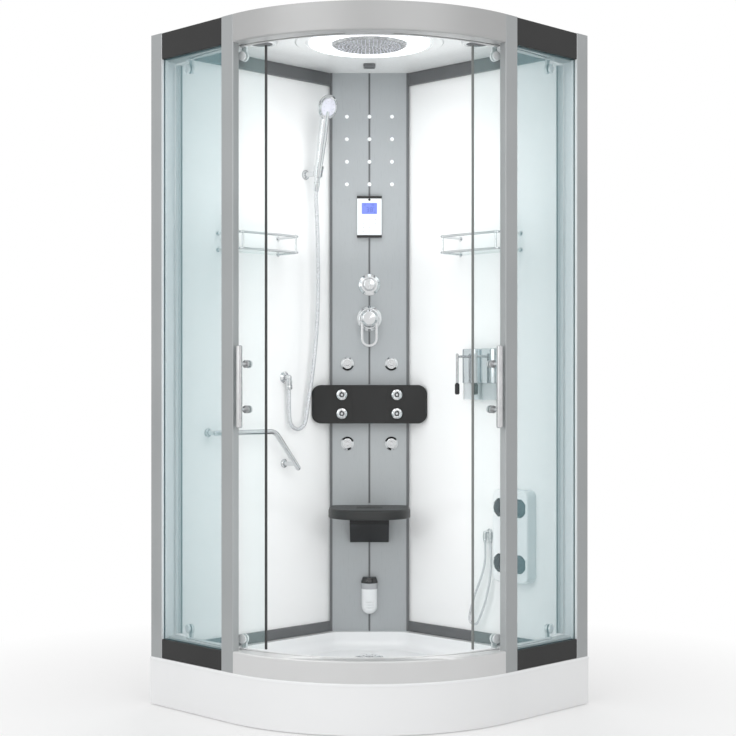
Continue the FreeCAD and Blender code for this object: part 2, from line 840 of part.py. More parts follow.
def handle_place():
    angle = door["lead"] - math.degrees(handle_inset / door_radius)
    place = curve_point(door_radius, angle)
    return place, (place - Vector(arc_x, arc_y, 0)).normalize()


def handle_bolts():
    return (handle_height - handle_bolt_pitch / 2, handle_height + handle_bolt_pitch / 2)


def rounded_cap(radius, height, rounding, base, outward):
    """Cap on the room side of the door glass, with its free edge rounded."""
    seat = base - outward * (glass_thickness / 2 + joint_gap)
    cap = Part.makeCylinder(radius, height, seat, -outward)
    free_edge = [e for e in cap.Edges if e.CenterOfMass.distanceToPoint(seat - outward * height) < 1e-3]
    return cap.makeFillet(rounding, free_edge)


def door_handle():
    place, outward = handle_place()
    grip = place + outward * handle_standoff
    skin = glass_thickness / 2
    low, high = handle_height - handle_length / 2, handle_height + handle_length / 2
    bar = turned([(0, 0), (handle_radius, 0, 3), (handle_radius, high - low, 3), (0, high - low)])
    parts = [bar.translated(grip + Vector(0, 0, low))]
    for z in handle_bolts():
        base = place + Vector(0, 0, z)
        parts.append(Part.makeCylinder(handle_bolt_radius, handle_standoff + skin + 1,
                                       base - outward * (skin + 1), outward))
        parts.append(Part.makeCylinder(handle_knob_radius, clamp_disc_height, base + outward * skin, outward))
        parts.append(rounded_cap(handle_knob_radius, handle_knob_height, 3, base, outward))
    return fused(*parts)


def roller_carriage(place, at_top):
    """Clamp through the glass, cranked arm and axle; the twin wheels are separate."""
    outward = (place - Vector(arc_x, arc_y, 0)).normalize()
    skin = glass_thickness / 2
    sign = 1 if at_top else -1
    edge = door_top if at_top else door_bottom
    bolt = edge - sign * roller_drop
    base = place + Vector(0, 0, bolt)
    cap = rounded_cap(carriage_cap_radius, carriage_cap_height, 2.5, base, outward)
    disc = Part.makeCylinder(carriage_disc_radius, clamp_disc_height, base + outward * skin, outward)
    shank = Part.makeCylinder(carriage_bolt_radius, 2 * skin + 2, base - outward * (skin + 1), outward)
    pole_dir = (place - door["pole"]).normalize()
    wheel_place = door["pole"] + pole_dir * door["circle"]

    def across(inner, outer, width, low, high, origin, direction):
        bar = box(inner, outer, -width, width, min(low, high), max(low, high))
        bar.rotate(Vector(0, 0, 0), up, math.degrees(math.atan2(direction.y, direction.x)))
        return bar.translated(Vector(origin.x, origin.y, 0))

    wheel_z = (header_bottom + track_plate + wheel_radius + joint_gap if at_top
               else sill_top - track_plate - wheel_radius - joint_gap)
    near = -skin - 1 - bridge_thickness
    riser = across(near, -skin - 1, bridge_width / 2, bolt, edge + sign * 5, place, outward)
    bridge = across(near, arm_thickness / 2 + 5, bridge_width / 2, edge + sign, edge + sign * 5,
                    place, outward)
    arm = across(-arm_thickness / 2, arm_thickness / 2, arm_width / 2, edge + sign * 2, wheel_z + sign * 5,
                 wheel_place, pole_dir)
    centre = wheel_place + Vector(0, 0, wheel_z)
    reach = arm_thickness / 2 + wheel_width + 2
    axle = Part.makeCylinder(axle_radius, 2 * reach, centre - pole_dir * reach, pole_dir)
    wheels = []
    for way in (1, -1):
        inner = centre + pole_dir * (way * (arm_thickness / 2 + 0.5))
        wheel = Part.makeCylinder(wheel_radius, wheel_width, inner, pole_dir * way)
        axle_bore = Part.makeCylinder(axle_radius + 0.05, wheel_width + 2, inner - pole_dir * way,
                                      pole_dir * way)
        wheels.append(wheel.cut(axle_bore))
    return [fused(cap, disc, shank, riser, bridge, arm, axle)] + wheels


def door_hardware():
    parts = [door_handle()]
    for place in door["rollers"]:
        parts += roller_carriage(place, True) + roller_carriage(place, False)
    return parts


def door_seals():
    lead_cover = math.degrees(lead_seal_cover / door_radius)
    proud = door_lead_gap - math.degrees(joint_gap / 2 / door_radius)
    glass = sector(door_radius - glass_thickness / 2, door_radius + glass_thickness / 2,
                   door["trail"], door["lead"], door_bottom - 1, door_top + 1)
    leading = sector(door_radius - lead_seal_width / 2, door_radius + lead_seal_width / 2,
                     door["lead"] - lead_cover, door["lead"] + proud, door_bottom, door_top).cut(glass)
    trail_cover = math.degrees(seal_cover / door_radius)
    trailing = sector(door_radius - seal_width / 2, door_radius + seal_width / 2,
                      door["trail"] - trail_cover * 0.5, door["trail"] + trail_cover, door_bottom, door_top)
    fin = sector(door_radius, door_radius + seal_width / 2 + fin_reach, door["trail"] - trail_cover * 0.5,
                 door["trail"] - trail_cover * 0.2, door_bottom, door_top)
    return [leading, fused(trailing, fin).cut(glass)]


# ================= rear walls and column =================

def column_room():
    reach = column_width / 2 + joint_gap
    return on_column(box(-reach, reach, 0, side, 0, cabin_height))


def rear_wall():
    """Left wall: glossy panel with a moulded rib grid on its hidden side."""
    start = -frame_plane + profile_depth
    end = half
    inner = -wall_inner
    panel = box(inner - panel_thickness, inner, start, end, tray_height, wall_top)
    ribs = []
    rib_back = -frame_plane
    for column in range(4):
        y = start + column * wall_rib_pitch
        ribs.append(box(rib_back, inner - panel_thickness, y, y + wall_rib, tray_height, wall_top))
    rise = (wall_top - wall_rib - tray_height) / (wall_rib_rows - 1)
    for row in range(wall_rib_rows):
        z = tray_height + row * rise
        ribs.append(box(rib_back, inner - panel_thickness, start, end, z, z + wall_rib))
    wall = fused(panel, *ribs)
    room = column_room()
    corner = behind_diagonal(column_face + column_return, 0, cabin_height)
    return cut(wall, room, corner)


def wall_trims():
    start = arc_y - rail_inner + joint_gap
    inner = -wall_inner
    room = column_room()
    trims = []
    for z0, z1 in ((tray_height, tray_height + lower_trim_height), (wall_top - upper_trim_height, wall_top)):
        bar = box(inner, inner + trim_thickness, start, half, z0, z1)
        bar = bar.makeFillet(4, [e for e in bar.Edges if abs(e.CenterOfMass.x - inner - trim_thickness) < 1e-6
                                 and abs(e.CenterOfMass.y - (start + half) / 2) < 1e-6])
        trims.append(bar.cut(room))
    return trims


def column_panel():
    w = column_width / 2
    back = column_face + column_return
    shell = cut(plate([(-w, column_face, 4), (w, column_face, 4), (w, back), (-w, back)],
                      tray_height, wall_top),
                box(-w + column_sheet, w - column_sheet, column_face + column_sheet, back + 1,
                    tray_height - 1, wall_top + 1),
                box(-groove_width / 2, groove_width / 2, column_face - 1, column_face + groove_depth,
                    tray_height - 1, wall_top + 1))
    inner = column_face + column_sheet
    ribs = [box(-w + column_sheet, w - column_sheet, inner, inner + stiffener_depth,
                z, z + stiffener_thickness)
            for z in stiffener_heights + (wall_top - 20,)]
    shell = fused(shell, *ribs)
    holes = []

    def bore(radius, x, z):
        holes.append(rod(radius, (x, column_face - 2, z), (x, column_face + column_sheet + 1, z)))

    for z in body_jet_heights:
        for x in (-body_jet_x, body_jet_x):
            bore(jet_tail_radius + hole_clearance, x, z)
    for x, z in small_jet_places():
        bore(small_jet_tail + hole_clearance, x, z)
    bore(spindle_radius + 3, 0, mixer_height)
    bore(spindle_radius + 3, 0, diverter_height)
    bore(11, 0, panel_centre)
    bore(10, 0, (outlet_bottom + outlet_top) / 2)
    return on_column(cut(shell, *holes))


def column_trims():
    w = column_width / 2
    front = column_face - strip_thickness
    strips = [box(-w, -w + column_strip, front, column_face, tray_height, wall_top),
              box(w - column_strip, w, front, column_face, tray_height, wall_top)]
    seat_foot = seat_top - seat_thickness - seat_bracket_height
    fitted = [(outlet_bottom, outlet_top), (seat_foot, seat_top + 1),
              (back_centre - back_height / 2 - 1, back_centre + back_height / 2 + 1),
              (mixer_height - mixer_plate, mixer_height + mixer_plate),
              (diverter_height - diverter_plate, diverter_height + diverter_plate),
              (panel_centre - panel_height / 2, panel_centre + panel_height / 2)]
    fitted += [(z - small_jet_tail, z + small_jet_tail) for x, z in reversed(small_jet_places()) if x == 0]
    inlay = (groove_width - 2 * joint_gap) / 2
    z0 = tray_height
    for low, high in fitted:
        strips.append(box(-inlay, inlay, column_face + groove_depth - inlay_thickness,
                          column_face + groove_depth, z0, low - 1))
        z0 = high + 1
    strips.append(box(-inlay, inlay, column_face + groove_depth - inlay_thickness,
                      column_face + groove_depth, z0, wall_top))
    return [on_column(s) for s in strips]


def small_jet_places():
    """Rows of three jets from the top row down, as many as the wall's height has room for."""
    rows = int((wall_top - jet_head_room - jet_foot) / jet_pitch) + 1
    return [(x, jet_foot + (rows - 1 - row) * jet_pitch)
            for row in range(rows) for x in (-jet_pitch, 0.0, jet_pitch)]


def horizontal_jets():
    cap = small_jet_radius
    jet = turned([(0, -10), (small_jet_tail, -10), (small_jet_tail, 0), (cap, 0), (cap - 0.6, 2.4, 0.8),
                  (2.2, 4.2), (2.2, 3), (0, 3)])
    return [on_column(facing_front(jet, x, column_face, z)) for x, z in small_jet_places()]


# ================= roof =================

def roof_shell():
    edge = arc_y - rail_inner + joint_gap
    outer_x = -frame_plane
    top = cabin_height

    def outline(inset, z0, z1):
        x0, far = outer_x + inset, -outer_x - inset
        low, radius = edge + inset, rail_inner - joint_gap - inset
        start, end = Vector(arc_x, low, z0), Vector(-low, arc_y, z0)
        middle = curve_point(radius, 45) + Vector(0, 0, z0)
        points = [Vector(x0, far, z0), Vector(x0, low, z0)]
        edges = [Part.makeLine(points[0], points[1]), Part.makeLine(points[1], start),
                 Part.Arc(start, middle, end).toShape(), Part.makeLine(end, Vector(-low, far, z0)),
                 Part.makeLine(Vector(-low, far, z0), points[0])]
        return Part.Face(Part.Wire(edges)).extrude(Vector(0, 0, z1 - z0))

    shell = outline(0, wall_top, top).cut(outline(roof_thickness, wall_top + roof_thickness, top + 1))
    centre_x, centre_y = -rain_setback / diagonal, rain_setback / diagonal
    centre = Vector(centre_x, centre_y, wall_top)
    step = turned([(roof_step_inner, 0.5), (roof_step_inner, -roof_step_drop, 1.5),
                   (roof_step_outer, -roof_step_drop, 1.5), (roof_step_outer + 6, 0.5)]).translated(centre)
    rims = []
    rim = turned([(grille_radius + joint_gap, 0.5), (grille_radius + joint_gap, -grille_drop, 1),
                  (grille_rim - 3, -grille_drop, 3), (grille_rim, 0.5)])
    holes = []
    for way in (-1, 1):
        place = Vector(way * grille_offset / diagonal, way * grille_offset / diagonal, wall_top)
        rims.append(rim.translated(place))
        holes.append(Part.makeCylinder(grille_radius - 6, 20, place - Vector(0, 0, 5)))
    vent = vent_place()
    holes.append(Part.makeCylinder(12, 20, Vector(vent.x, vent.y, wall_top - 5)))
    holes.append(Part.makeCylinder(pipe_radius + 1, 20, centre - Vector(0, 0, 5)))
    riser_slot = rectangle(2 * pipe_radius + 4, riser_bend + 2 * pipe_radius + 4, pipe_radius + 1.9,
                           0, pipe_depth - riser_bend / 2)
    holes.append(on_column(plate(riser_slot, wall_top - 5, wall_top + 15)))
    ribs = []
    for k in range(roof_ribs):
        rib = box(ring_outer, rail_inner * 0.78, -roof_rib_thickness / 2, roof_rib_thickness / 2,
                  wall_top + roof_thickness - 1, top - 3)
        rib.rotate(Vector(0, 0, 0), up, 360.0 / roof_ribs * k + 45)
        ribs.append(rib.translated(Vector(centre_x, centre_y, 0)))
    inside = outline(1, wall_top, top)
    ribs = [r.common(inside) for r in ribs]
    over_grille, rib_foot = grille_offset / diagonal, wall_top + roof_thickness
    keep_clear = [Part.makeCylinder(fan_duct + 25, 40, Vector(way * over_grille, way * over_grille, rib_foot))
                  for way in (-1, 1)]
    ribs = [cut(r, *keep_clear) for r in ribs]
    rear = behind_diagonal(roof_rear_cut, wall_top - 10, top + 10)
    return cut(fused(shell, step, *rims, *ribs), rear, *holes)


def vent_place():
    return Vector(-vent_setback / diagonal, vent_setback / diagonal, wall_top)


def light_ring():
    centre = Vector(-rain_setback / diagonal, rain_setback / diagonal, wall_top - joint_gap)
    return turned([(ring_inner, 0), (ring_inner, -ring_depth, 2), (ring_outer, -ring_depth, 4),
                   (ring_outer, 0)]).translated(centre)


def rain_head():
    centre = Vector(-rain_setback / diagonal, rain_setback / diagonal, wall_top)
    disc = turned([(0, -rain_depth), (rain_radius - 6, -rain_depth + 2, 3), (rain_radius, -rain_depth + 6, 2),
                   (rain_radius, -4, 2), (rain_radius - 30, 0), (0, 0)])
    nipples = [rod(2.0, (0, 0, -rain_depth - 1.5), (0, 0, -rain_depth + 4))]
    for ring in (1, 2):
        reach = ring * rain_ring_pitch
        for k in range(rain_nozzles * ring):
            angle = 2 * math.pi * k / (rain_nozzles * ring)
            x, y = reach * math.cos(angle), reach * math.sin(angle)
            nipples.append(rod(2.0, (x, y, -rain_depth - 1.0), (x, y, -rain_depth + 4)))
    stem = rod(pipe_radius - joint_gap, (0, 0, -1), (0, 0, roof_thickness + 0.7))
    return fused(disc, stem, *nipples).translated(centre)


def round_grille():
    low, edge = 2 - grille_drop, grille_radius - 4
    frame = turned([(edge - 1, 0), (edge - 1, low), (grille_radius, low), (grille_radius, 0)])
    disc = turned([(0, low), (edge, low), (edge, low + 3), (0, low + 3)])
    slots = []
    for k in range(-3, 4):
        y = k * grille_slot_pitch
        reach = math.sqrt((grille_radius - 8) ** 2 - y * y)
        slots.append(box(-reach, reach, y - grille_slot_width / 2, y + grille_slot_width / 2,
                         -grille_drop, -grille_drop + 6))
    return fused(frame, cut(disc, *slots))


def roof_grilles():
    parts = []
    for way in (-1, 1):
        place = Vector(way * grille_offset / diagonal, way * grille_offset / diagonal, wall_top)
        parts.append(round_grille().translated(place))
    vent = plate(rectangle(vent_width, vent_length, 6), -10, -joint_gap)
    vent = vent.makeFillet(3, edges_at_height(vent, -10))
    louvres = [box(-vent_width / 2 + 6, vent_width / 2 - 6, y - 1.5, y + 1.5, -12, -5)
               for y in [vent_louvre_pitch * (k - 1.5) for k in range(4)]]
    vent = cut(vent, *louvres)
    vent.rotate(Vector(0, 0, 0), up, 45)
    parts.append(vent.translated(vent_place()))
    return parts


def fan_parts():
    """Axial fan over the right grille: duct with spider and motor cup, and its rotor."""
    place = Vector(grille_offset / diagonal, grille_offset / diagonal, wall_top + roof_thickness)
    size = 2 * (fan_duct + 5)
    housing = plate(rectangle(size, size, 6), 0, fan_housing_height)
    housing = housing.cut(rod(fan_duct, (0, 0, -1), (0, 0, fan_housing_height + 1)))
    cup = rod(fan_hub, (0, 0, fan_housing_height - 3), (0, 0, fan_housing_height))
    arms = []
    for k in range(4):
        arm = box(fan_hub - 2, fan_duct + 3, -2.5, 2.5, fan_housing_height - 3, fan_housing_height)
        arm.rotate(Vector(0, 0, 0), up, 90 * k + 45)
        arms.append(arm)
    axle = rod(2, (0, 0, 2), (0, 0, fan_housing_height - 2))
    housing = fused(housing, cup, axle, *arms)
    hub = turned([(2.1, 1.5), (fan_hub - 2, 1.5, 2), (fan_hub - 2, fan_housing_height - 3.5),
                  (2.1, fan_housing_height - 3.5)])
    blades = []
    for k in range(fan_blades):
        lower = Part.Wire(Part.makePolygon([Vector(fan_hub - 4, -2, 3), Vector(fan_hub - 4, -0.4, 2),
                                            Vector(fan_hub - 4, 9, 10), Vector(fan_hub - 4, 7.4, 11),
                                            Vector(fan_hub - 4, -2, 3)]))
        upper = Part.Wire(Part.makePolygon([Vector(fan_radius, -8, 4), Vector(fan_radius, -7, 3),
                                            Vector(fan_radius, 10, 8.5), Vector(fan_radius, 9, 9.5),
                                            Vector(fan_radius, -8, 4)]))
        blade = Part.makeLoft([lower, upper], True, True)
        blade.rotate(Vector(0, 0, 0), up, 360.0 / fan_blades * k)
        blades.append(blade)
    rotor = fused(hub, *blades)
    return housing.translated(place), rotor.translated(place), place


# ================= controls =================

def control_panel():
    body = plate(rectangle(panel_width, panel_height, 2.5), 0, panel_depth)
    body = body.makeFillet(1.5, edges_at_height(body, panel_depth))
    bars = []
    for end in (-1, 1):
        bar = plate(rectangle(panel_width + 1, panel_bar, 2, 0, end * (panel_height - panel_bar) / 2),
                    0, panel_depth + 1)
        bars.append(bar)
    offset = screen_centre - panel_centre
    pocket = plate(rectangle(screen_width + 2 * joint_gap, screen_height + 2 * joint_gap, 3, 0, offset),
                   panel_depth - 2, panel_depth + 1)
    keys = []
    for row in range(4):
        for column in (-1, 0, 1):
            outline = rectangle(key_width, key_height, 3, column * key_pitch_x, key_top - row * key_pitch_y)
            keys.append(plate(outline, panel_depth - 1, panel_depth + key_rise))
    tail = rod(10.5, (0, 0, -column_sheet - 6), (0, 0, 1))
    body = fused(body.cut(pocket), tail, *keys, *bars)
    screen = plate(rectangle(screen_width, screen_height, 2.7, 0, offset), panel_depth - 2, panel_depth - 0.3)
    return (on_column(facing_front(body, 0, column_face, panel_centre)),
            on_column(facing_front(screen, 0, column_face, panel_centre)))


def valve_plates():
    small = turned([(spindle_radius + 2, 0), (diverter_plate, 0), (diverter_plate, 2, 1),
                    (diverter_plate - 10, plate_rise, 3), (spindle_radius + 2, plate_rise)])
    large = turned([(spindle_radius + 2, 0), (mixer_plate, 0), (mixer_plate, 2, 1),
                    (mixer_plate - 9, large_plate_rise, 4), (spindle_radius + 2, large_plate_rise)])
    return [on_column(facing_front(small, 0, column_face, diverter_height)),
            on_column(facing_front(large, 0, column_face, mixer_height))]


def diverter_knob():
    r, top = diverter_knob_radius, diverter_knob_top
    knob = turned([(0, -spindle_depth), (spindle_radius - 2, -spindle_depth),
                   (spindle_radius - 2, plate_rise + joint_gap), (r - 2, plate_rise + joint_gap, 1),
                   (r, 12), (r - 2, top - 2, 5), (0, top)])
    ridge = box(-3, 3, -r + 5, r - 4, top - 3, top + 3)
    ridge = ridge.makeFillet(2, edges_at_height(ridge, top + 3))
    flutes = []
    for k in range(knob_flutes):
        angle = 2 * math.pi * k / knob_flutes
        x, y = (r + 1.2) * math.cos(angle), (r + 1.2) * math.sin(angle)
        flutes.append(rod(knob_flute_radius, (x, y, 11), (x, y, top + 5)))
    knob = cut(fused(knob, ridge), *flutes)
    return on_column(facing_front(knob, 0, column_face, diverter_height))


def mixer_parts():
    r = mixer_cap_radius
    top = mixer_cap_top
    cap = turned([(0, -spindle_depth), (spindle_radius, -spindle_depth),
                  (spindle_radius, large_plate_rise + joint_gap), (r - 4, large_plate_rise + joint_gap, 1),
                  (r, 12, 2), (r, top - 10, 5), (r - 12, top - 2, 6), (0, top)])
    ears = [box(s * 14.5 - 2.5, s * 14.5 + 2.5, lever_pivot_up - 5, lever_pivot_up + 5,
                28, lever_pivot_out + 6) for s in (-1, 1)]
    ears = [e.makeFillet(3, [x for x in e.Edges if abs(x.CenterOfMass.z - lever_pivot_out - 6) < 1e-6
                             and abs(abs(x.CenterOfMass.y - lever_pivot_up) - 5) < 1e-6]) for e in ears]
    pin = rod(pivot_pin, (-16, lever_pivot_up, lever_pivot_out), (16, lever_pivot_up, lever_pivot_out))
    cap = fused(cap, pin, *ears)
    low, high = lever_pivot_out - 4, lever_pivot_out + 4
    centre_y = (lever_top - lever_reach) / 2
    height = lever_top + lever_reach
    loop = plate(rectangle(lever_width, height, lever_width / 2 - 1, 0, centre_y), low, high)
    loop = loop.makeFillet(2.5, edges_at_height(loop, high))
    inner = plate(rectangle(lever_width - 2 * lever_band, height - 2 * lever_band,
                            lever_width / 2 - lever_band - 1, 0, centre_y), low - 1, high + 1)
    loop = loop.cut(inner)
    tongue = box(-8, 8, lever_pivot_up, lever_top - lever_band + 2, low + 1, high - 1)
    barrel = rod(5, (-11.5, lever_pivot_up, lever_pivot_out), (11.5, lever_pivot_up, lever_pivot_out))
    bore = rod(pivot_pin + 0.08, (-12, lever_pivot_up, lever_pivot_out),
               (12, lever_pivot_up, lever_pivot_out))
    wall, ceiling = dome_radius - 4, lever_pivot_out + 9
    dome = turned([(wall, low - 1), (dome_radius, low - 1, 1), (dome_radius, ceiling - 2, 4),
                   (dome_radius - 9, ceiling + 3, 6), (0, ceiling + 4.5), (0, ceiling), (wall, ceiling)])
    lever = fused(loop, tongue, barrel, dome).cut(bore)
    return (on_column(facing_front(cap, 0, column_face, mixer_height)),
            on_column(facing_front(lever, 0, column_face, mixer_height)))


def valves_and_pipes():
    """Mixer and diverter bodies with the pipes between them, behind the column."""
    back = column_face + column_sheet
    parts = []
    for z, bore in ((mixer_height, spindle_radius), (diverter_height, spindle_radius - 2)):
        body = rod(valve_radius, (0, back, z), (0, back + valve_length, z))
        collar = rod(valve_radius + 5, (0, back, z), (0, back + 6, z))
        socket = rod(bore + spindle_clearance, (0, back - 1, z), (0, column_face + spindle_depth + 1, z))
        parts.append(fused(body, collar).cut(socket))
    x = inlet_spacing / 2
    cross = rod(cross_radius, (-x, pipe_depth, mixer_height), (x, pipe_depth, mixer_height))
    inlets = []
    for way in (-1, 1):
        inlets.append(Part.makeSphere(cross_radius, Vector(way * x, pipe_depth, mixer_height)))
        inlets.append(rod(inlet_radius, (way * x, pipe_depth, mixer_height),
                          (way * x, pipe_depth + inlet_length, mixer_height)))
        inlets.append(rod(inlet_radius + 4, (way * x, pipe_depth + 8, mixer_height),
                          (way * x, pipe_depth + 16, mixer_height)))
    mixer = fused(parts[0], cross, *inlets)
    mixer = mixer.cut(rod(spindle_radius + spindle_clearance, (0, back - 1, mixer_height),
                          (0, column_face + spindle_depth + 1, mixer_height)))
    link = rod(pipe_radius, (0, pipe_depth, mixer_height + valve_radius - 2),
               (0, pipe_depth, diverter_height - valve_radius + 2))
    top = wall_top + roof_thickness + pipe_radius + 1
    riser = bent_tube([(0, pipe_depth, diverter_height + valve_radius - 2), (0, pipe_depth, top),
                       (0, rain_setback, top)], pipe_radius, riser_bend)
    drop = rod(pipe_radius, (0, rain_setback, wall_top + roof_thickness + 1), (0, rain_setback, top))
    jets = []
    for way in (-1, 1):
        x = way * body_jet_x
        y = back + 30
        line = [(way * (valve_radius - 3), pipe_depth, diverter_height), (x, pipe_depth, diverter_height),
                (x, y + 4, diverter_height - 70), (x, y + 4, body_jet_heights[1] - 30)]
        jets.append(bent_tube(line, jet_pipe_radius, riser_bend))
        for z in body_jet_heights:
            jets.append(rod(9, (x, y - 14, z), (x, y + 6, z)))
    return [on_column(fused(mixer, link, parts[1], riser, drop, *jets))]


def body_jets():
    """Rings on the column with swivelling nozzles, and the fixed rings on the back pad."""
    ring = turned([(jet_tail_bore, -jet_tail_length), (jet_tail_radius, -jet_tail_length),
                   (jet_tail_radius, 0), (body_jet_radius, 0), (body_jet_radius, 3, 2), (17, 9, 2),
                   (nozzle_mouth, 9), (nozzle_mouth, -2), (jet_tail_bore, -2)])
    ring = ring.cut(Part.makeSphere(nozzle_radius + nozzle_clearance, Vector(0, 0, 1)))
    ball = Part.makeSphere(nozzle_radius, Vector(0, 0, 1))
    ball = ball.cut(box(-20, 20, -20, 20, 9, 30)).cut(box(-20, 20, -20, 20, -30, -9))
    mouth = turned([(jet_bore_radius, 8), (8, 8), (7, 12, 1), (jet_bore_radius, 12)])
    nozzle = fused(ball, mouth).cut(rod(jet_bore_radius, (0, 0, 2), (0, 0, 14)))
    rings, nozzles = [], []
    for z in body_jet_heights:
        for x in (-body_jet_x, body_jet_x):
            rings.append(on_column(facing_front(ring, x, column_face, z)))
            nozzles.append(on_column(facing_front(nozzle, x, column_face, z)))
    small = turned([(0, 0), (back_jet_radius, 0), (back_jet_radius, 3, 2), (12, 6, 2), (9, 4), (5, 4),
                    (3, 6.5, 1), (0, 6.5)])
    face = column_face - back_depth + 4
    for z in (back_centre - back_jet_pitch / 2, back_centre + back_jet_pitch / 2):
        for x in (-back_jet_x, back_jet_x):
            rings.append(on_column(facing_front(small, x, face, z)))
    return rings, nozzles


# ================= back pad, seat, steam outlet =================

def backrest_pad():
    w = back_width / 2
    front = column_face - back_depth
    foot = column_width / 2 - 4
    low, high = back_centre - back_height / 2, back_centre + back_height / 2
    wing = wall_inner * diagonal - w - joint_gap
    pad = plate([(-w, front, 7), (w, front, 7), (w, wing, 1), (foot, column_face), (-foot, column_face),
                 (-w, wing, 1)], low, high)
    outline = plate(rectangle(back_width, back_height, back_corner), -1, back_depth + 1)
    outline = facing_front(outline, 0, column_face, back_centre)
    pad = pad.common(outline)
    dish = rod(back_dish, (0, front - back_dish + 5, low - 1), (0, front - back_dish + 5, high + 1))
    waist = dish.common(box(-60, 60, front - 1, front + 20, low - 1, high + 1))
    recesses = []
    for z in (back_centre - back_jet_pitch / 2, back_centre + back_jet_pitch / 2):
        for x in (-back_jet_x, back_jet_x):
            recesses.append(rod(back_jet_recess, (x, front - 1, z), (x, front + 4, z)))
    edge_strip = [box(s * column_width / 2 - 10, s * column_width / 2 + 10,
                      column_face - strip_thickness - joint_gap, column_face + 1, low - 1, high + 1)
                  for s in (-1, 1)]
    return on_column(cut(pad, waist, *recesses, *edge_strip))


def seat_parts():
    top = seat_top - seat_thickness - joint_gap
    w = seat_bracket_width / 2
    pin_y = column_face - seat_pin_out
    pin_z = seat_top - seat_thickness / 2 - 7
    low = seat_top - seat_thickness - seat_bracket_height
    reach = column_face - seat_bracket_reach
    side_view = plate([(reach, top - 26, 8), (reach, top, 3), (column_face, top), (column_face, low, 4),
                       (column_face - 24, low, 10)], -w, w)
    bracket = side_view.copy()
    bracket.transformShape(Matrix(0, 0, 1, 0, 1, 0, 0, 0, 0, 1, 0, 0, 0, 0, 0, 1))
    bracket = bracket.cut(box(-w + 6, w - 6, reach + 10, column_face - 26, top - 24, top - 8))
    ears = []
    for s in (-1, 1):
        x0, x1 = s * seat_ear_place - seat_ear_width / 2, s * seat_ear_place + seat_ear_width / 2
        ear = box(x0, x1, pin_y - seat_knuckle, pin_y + seat_knuckle, top - 4, pin_z)
        crown = rod(seat_knuckle, (x0, pin_y, pin_z), (x1, pin_y, pin_z))
        ears += [ear, crown]
    pin = rod(seat_pin_radius, (-w, pin_y, pin_z), (w, pin_y, pin_z))
    bracket = fused(bracket, pin, *ears)
    rear = pin_y - seat_knuckle - 3
    front = rear - seat_depth
    sw = seat_width / 2
    seat = plate([(-sw, front, 110), (sw, front, 110), (sw, rear, 40), (-sw, rear, 40)],
                 seat_top - seat_thickness, seat_top)
    seat = seat.makeFillet(9, edges_at_height(seat, seat_top))
    seat = seat.makeFillet(5, edges_at_height(seat, seat_top - seat_thickness))
    drains = [plate(rectangle(seat_drain_width, 8, 3.9, 0, rear - 95 - seat_drain_pitch * k),
                    seat_top - seat_thickness - 1, seat_top + 1) for k in range(3)]
    knuckles = []
    for s in (-1, 1):
        x0, x1 = (s * 50 - joint_gap * s), s * 22
        x0, x1 = min(x0, x1), max(x0, x1)
        knuckles.append(box(x0, x1, rear - 12, pin_y, pin_z - seat_knuckle + 3, pin_z + seat_knuckle - 3))
        knuckles.append(rod(seat_knuckle - 3, (x0, pin_y, pin_z), (x1, pin_y, pin_z)))
    bore = rod(seat_pin_radius + 0.1, (-60, pin_y, pin_z), (60, pin_y, pin_z))
    seat = cut(fused(seat, *knuckles), bore, *drains)
    return on_column(bracket), on_column(seat), (pin_y, pin_z)


def steam_outlet():
    """Round-bottomed capsule on the column with a flat black cap, and its tail through the column."""
    r = outlet_radius
    y = column_face + r - outlet_proud
    split, middle = outlet_top - outlet_cap, (outlet_bottom + outlet_top) / 2
    behind = box(-side, side, column_face, side, 0, side)
    body = fused(rod(r, (0, y, outlet_bottom + r), (0, y, split - 0.5)),
                 Part.makeSphere(r, Vector(0, y, outlet_bottom + r)))
    neck = rod(r - 6, (0, y, split - 3), (0, y, split))
    body = fused(body, neck).cut(behind)
    slots = [box(-r - 1, r + 1, y - r - 1, y - r + 5, z, z + 4)
             for z in [outlet_bottom + 24 + 10 * k for k in range(3)]]
    tail = rod(9.6, (0, column_face - 1, middle), (0, column_face + 24, middle))
    cap = turned([(0, split), (r + 1, split), (r + 1, split + 5), (r - 5, outlet_top, 2), (0, outlet_top)])
    cap = cap.translated(Vector(0, y, 0)).cut(behind)
    return [on_column(fused(cut(body, *slots), tail)), on_column(cap)]


def steam_generator():
    w = steam_box_width / 2
    front = column_face + column_sheet + strap_reach
    behind = front + steam_box_depth
    tank = plate([(-w, front, 8), (w, front, 8), (w - steam_box_slope, behind, 12),
                  (-w + steam_box_slope, behind, 12)], steam_box_bottom, steam_box_bottom + steam_box_height)
    straps = []
    for z in (steam_box_bottom + 50, steam_box_bottom + steam_box_height - 70):
        straps.append(box(-w - strap_reach, w + strap_reach, front - 2, front + 1, z, z + strap_width))
        for s in (-1, 1):
            foot = s * (w + strap_reach)
            straps.append(box(foot - strap_thickness / 2, foot + strap_thickness / 2,
                              column_face + column_sheet, front + 1, z, z + strap_width))
    outlet_z = (outlet_bottom + outlet_top) / 2
    pipe = bent_tube([(0, front + 40, steam_box_bottom + 2), (0, front + 40, outlet_z),
                      (0, column_face + 24, outlet_z)], pipe_radius + 1, 14)
    valve = turned([(0, 0), (14, 0), (14, 12), (8, 14), (8, 26), (0, 26)])
    valve = valve.translated(Vector(40, front + 36, steam_box_bottom + steam_box_height))
    return on_column(fused(tank, pipe, valve, *straps))


# ================= hand shower =================

def leaned(shape):
    """From the handset's own frame (handle up, spray towards -y) to its place in the cradle."""
    placed = shape.copy()
    placed.rotate(Vector(0, 0, 0), Vector(1, 0, 0), shower_lean)
    placed = placed.translated(Vector(shower_along, wall_inner - shower_standoff, shower_foot))
    return on_left_wall(placed)


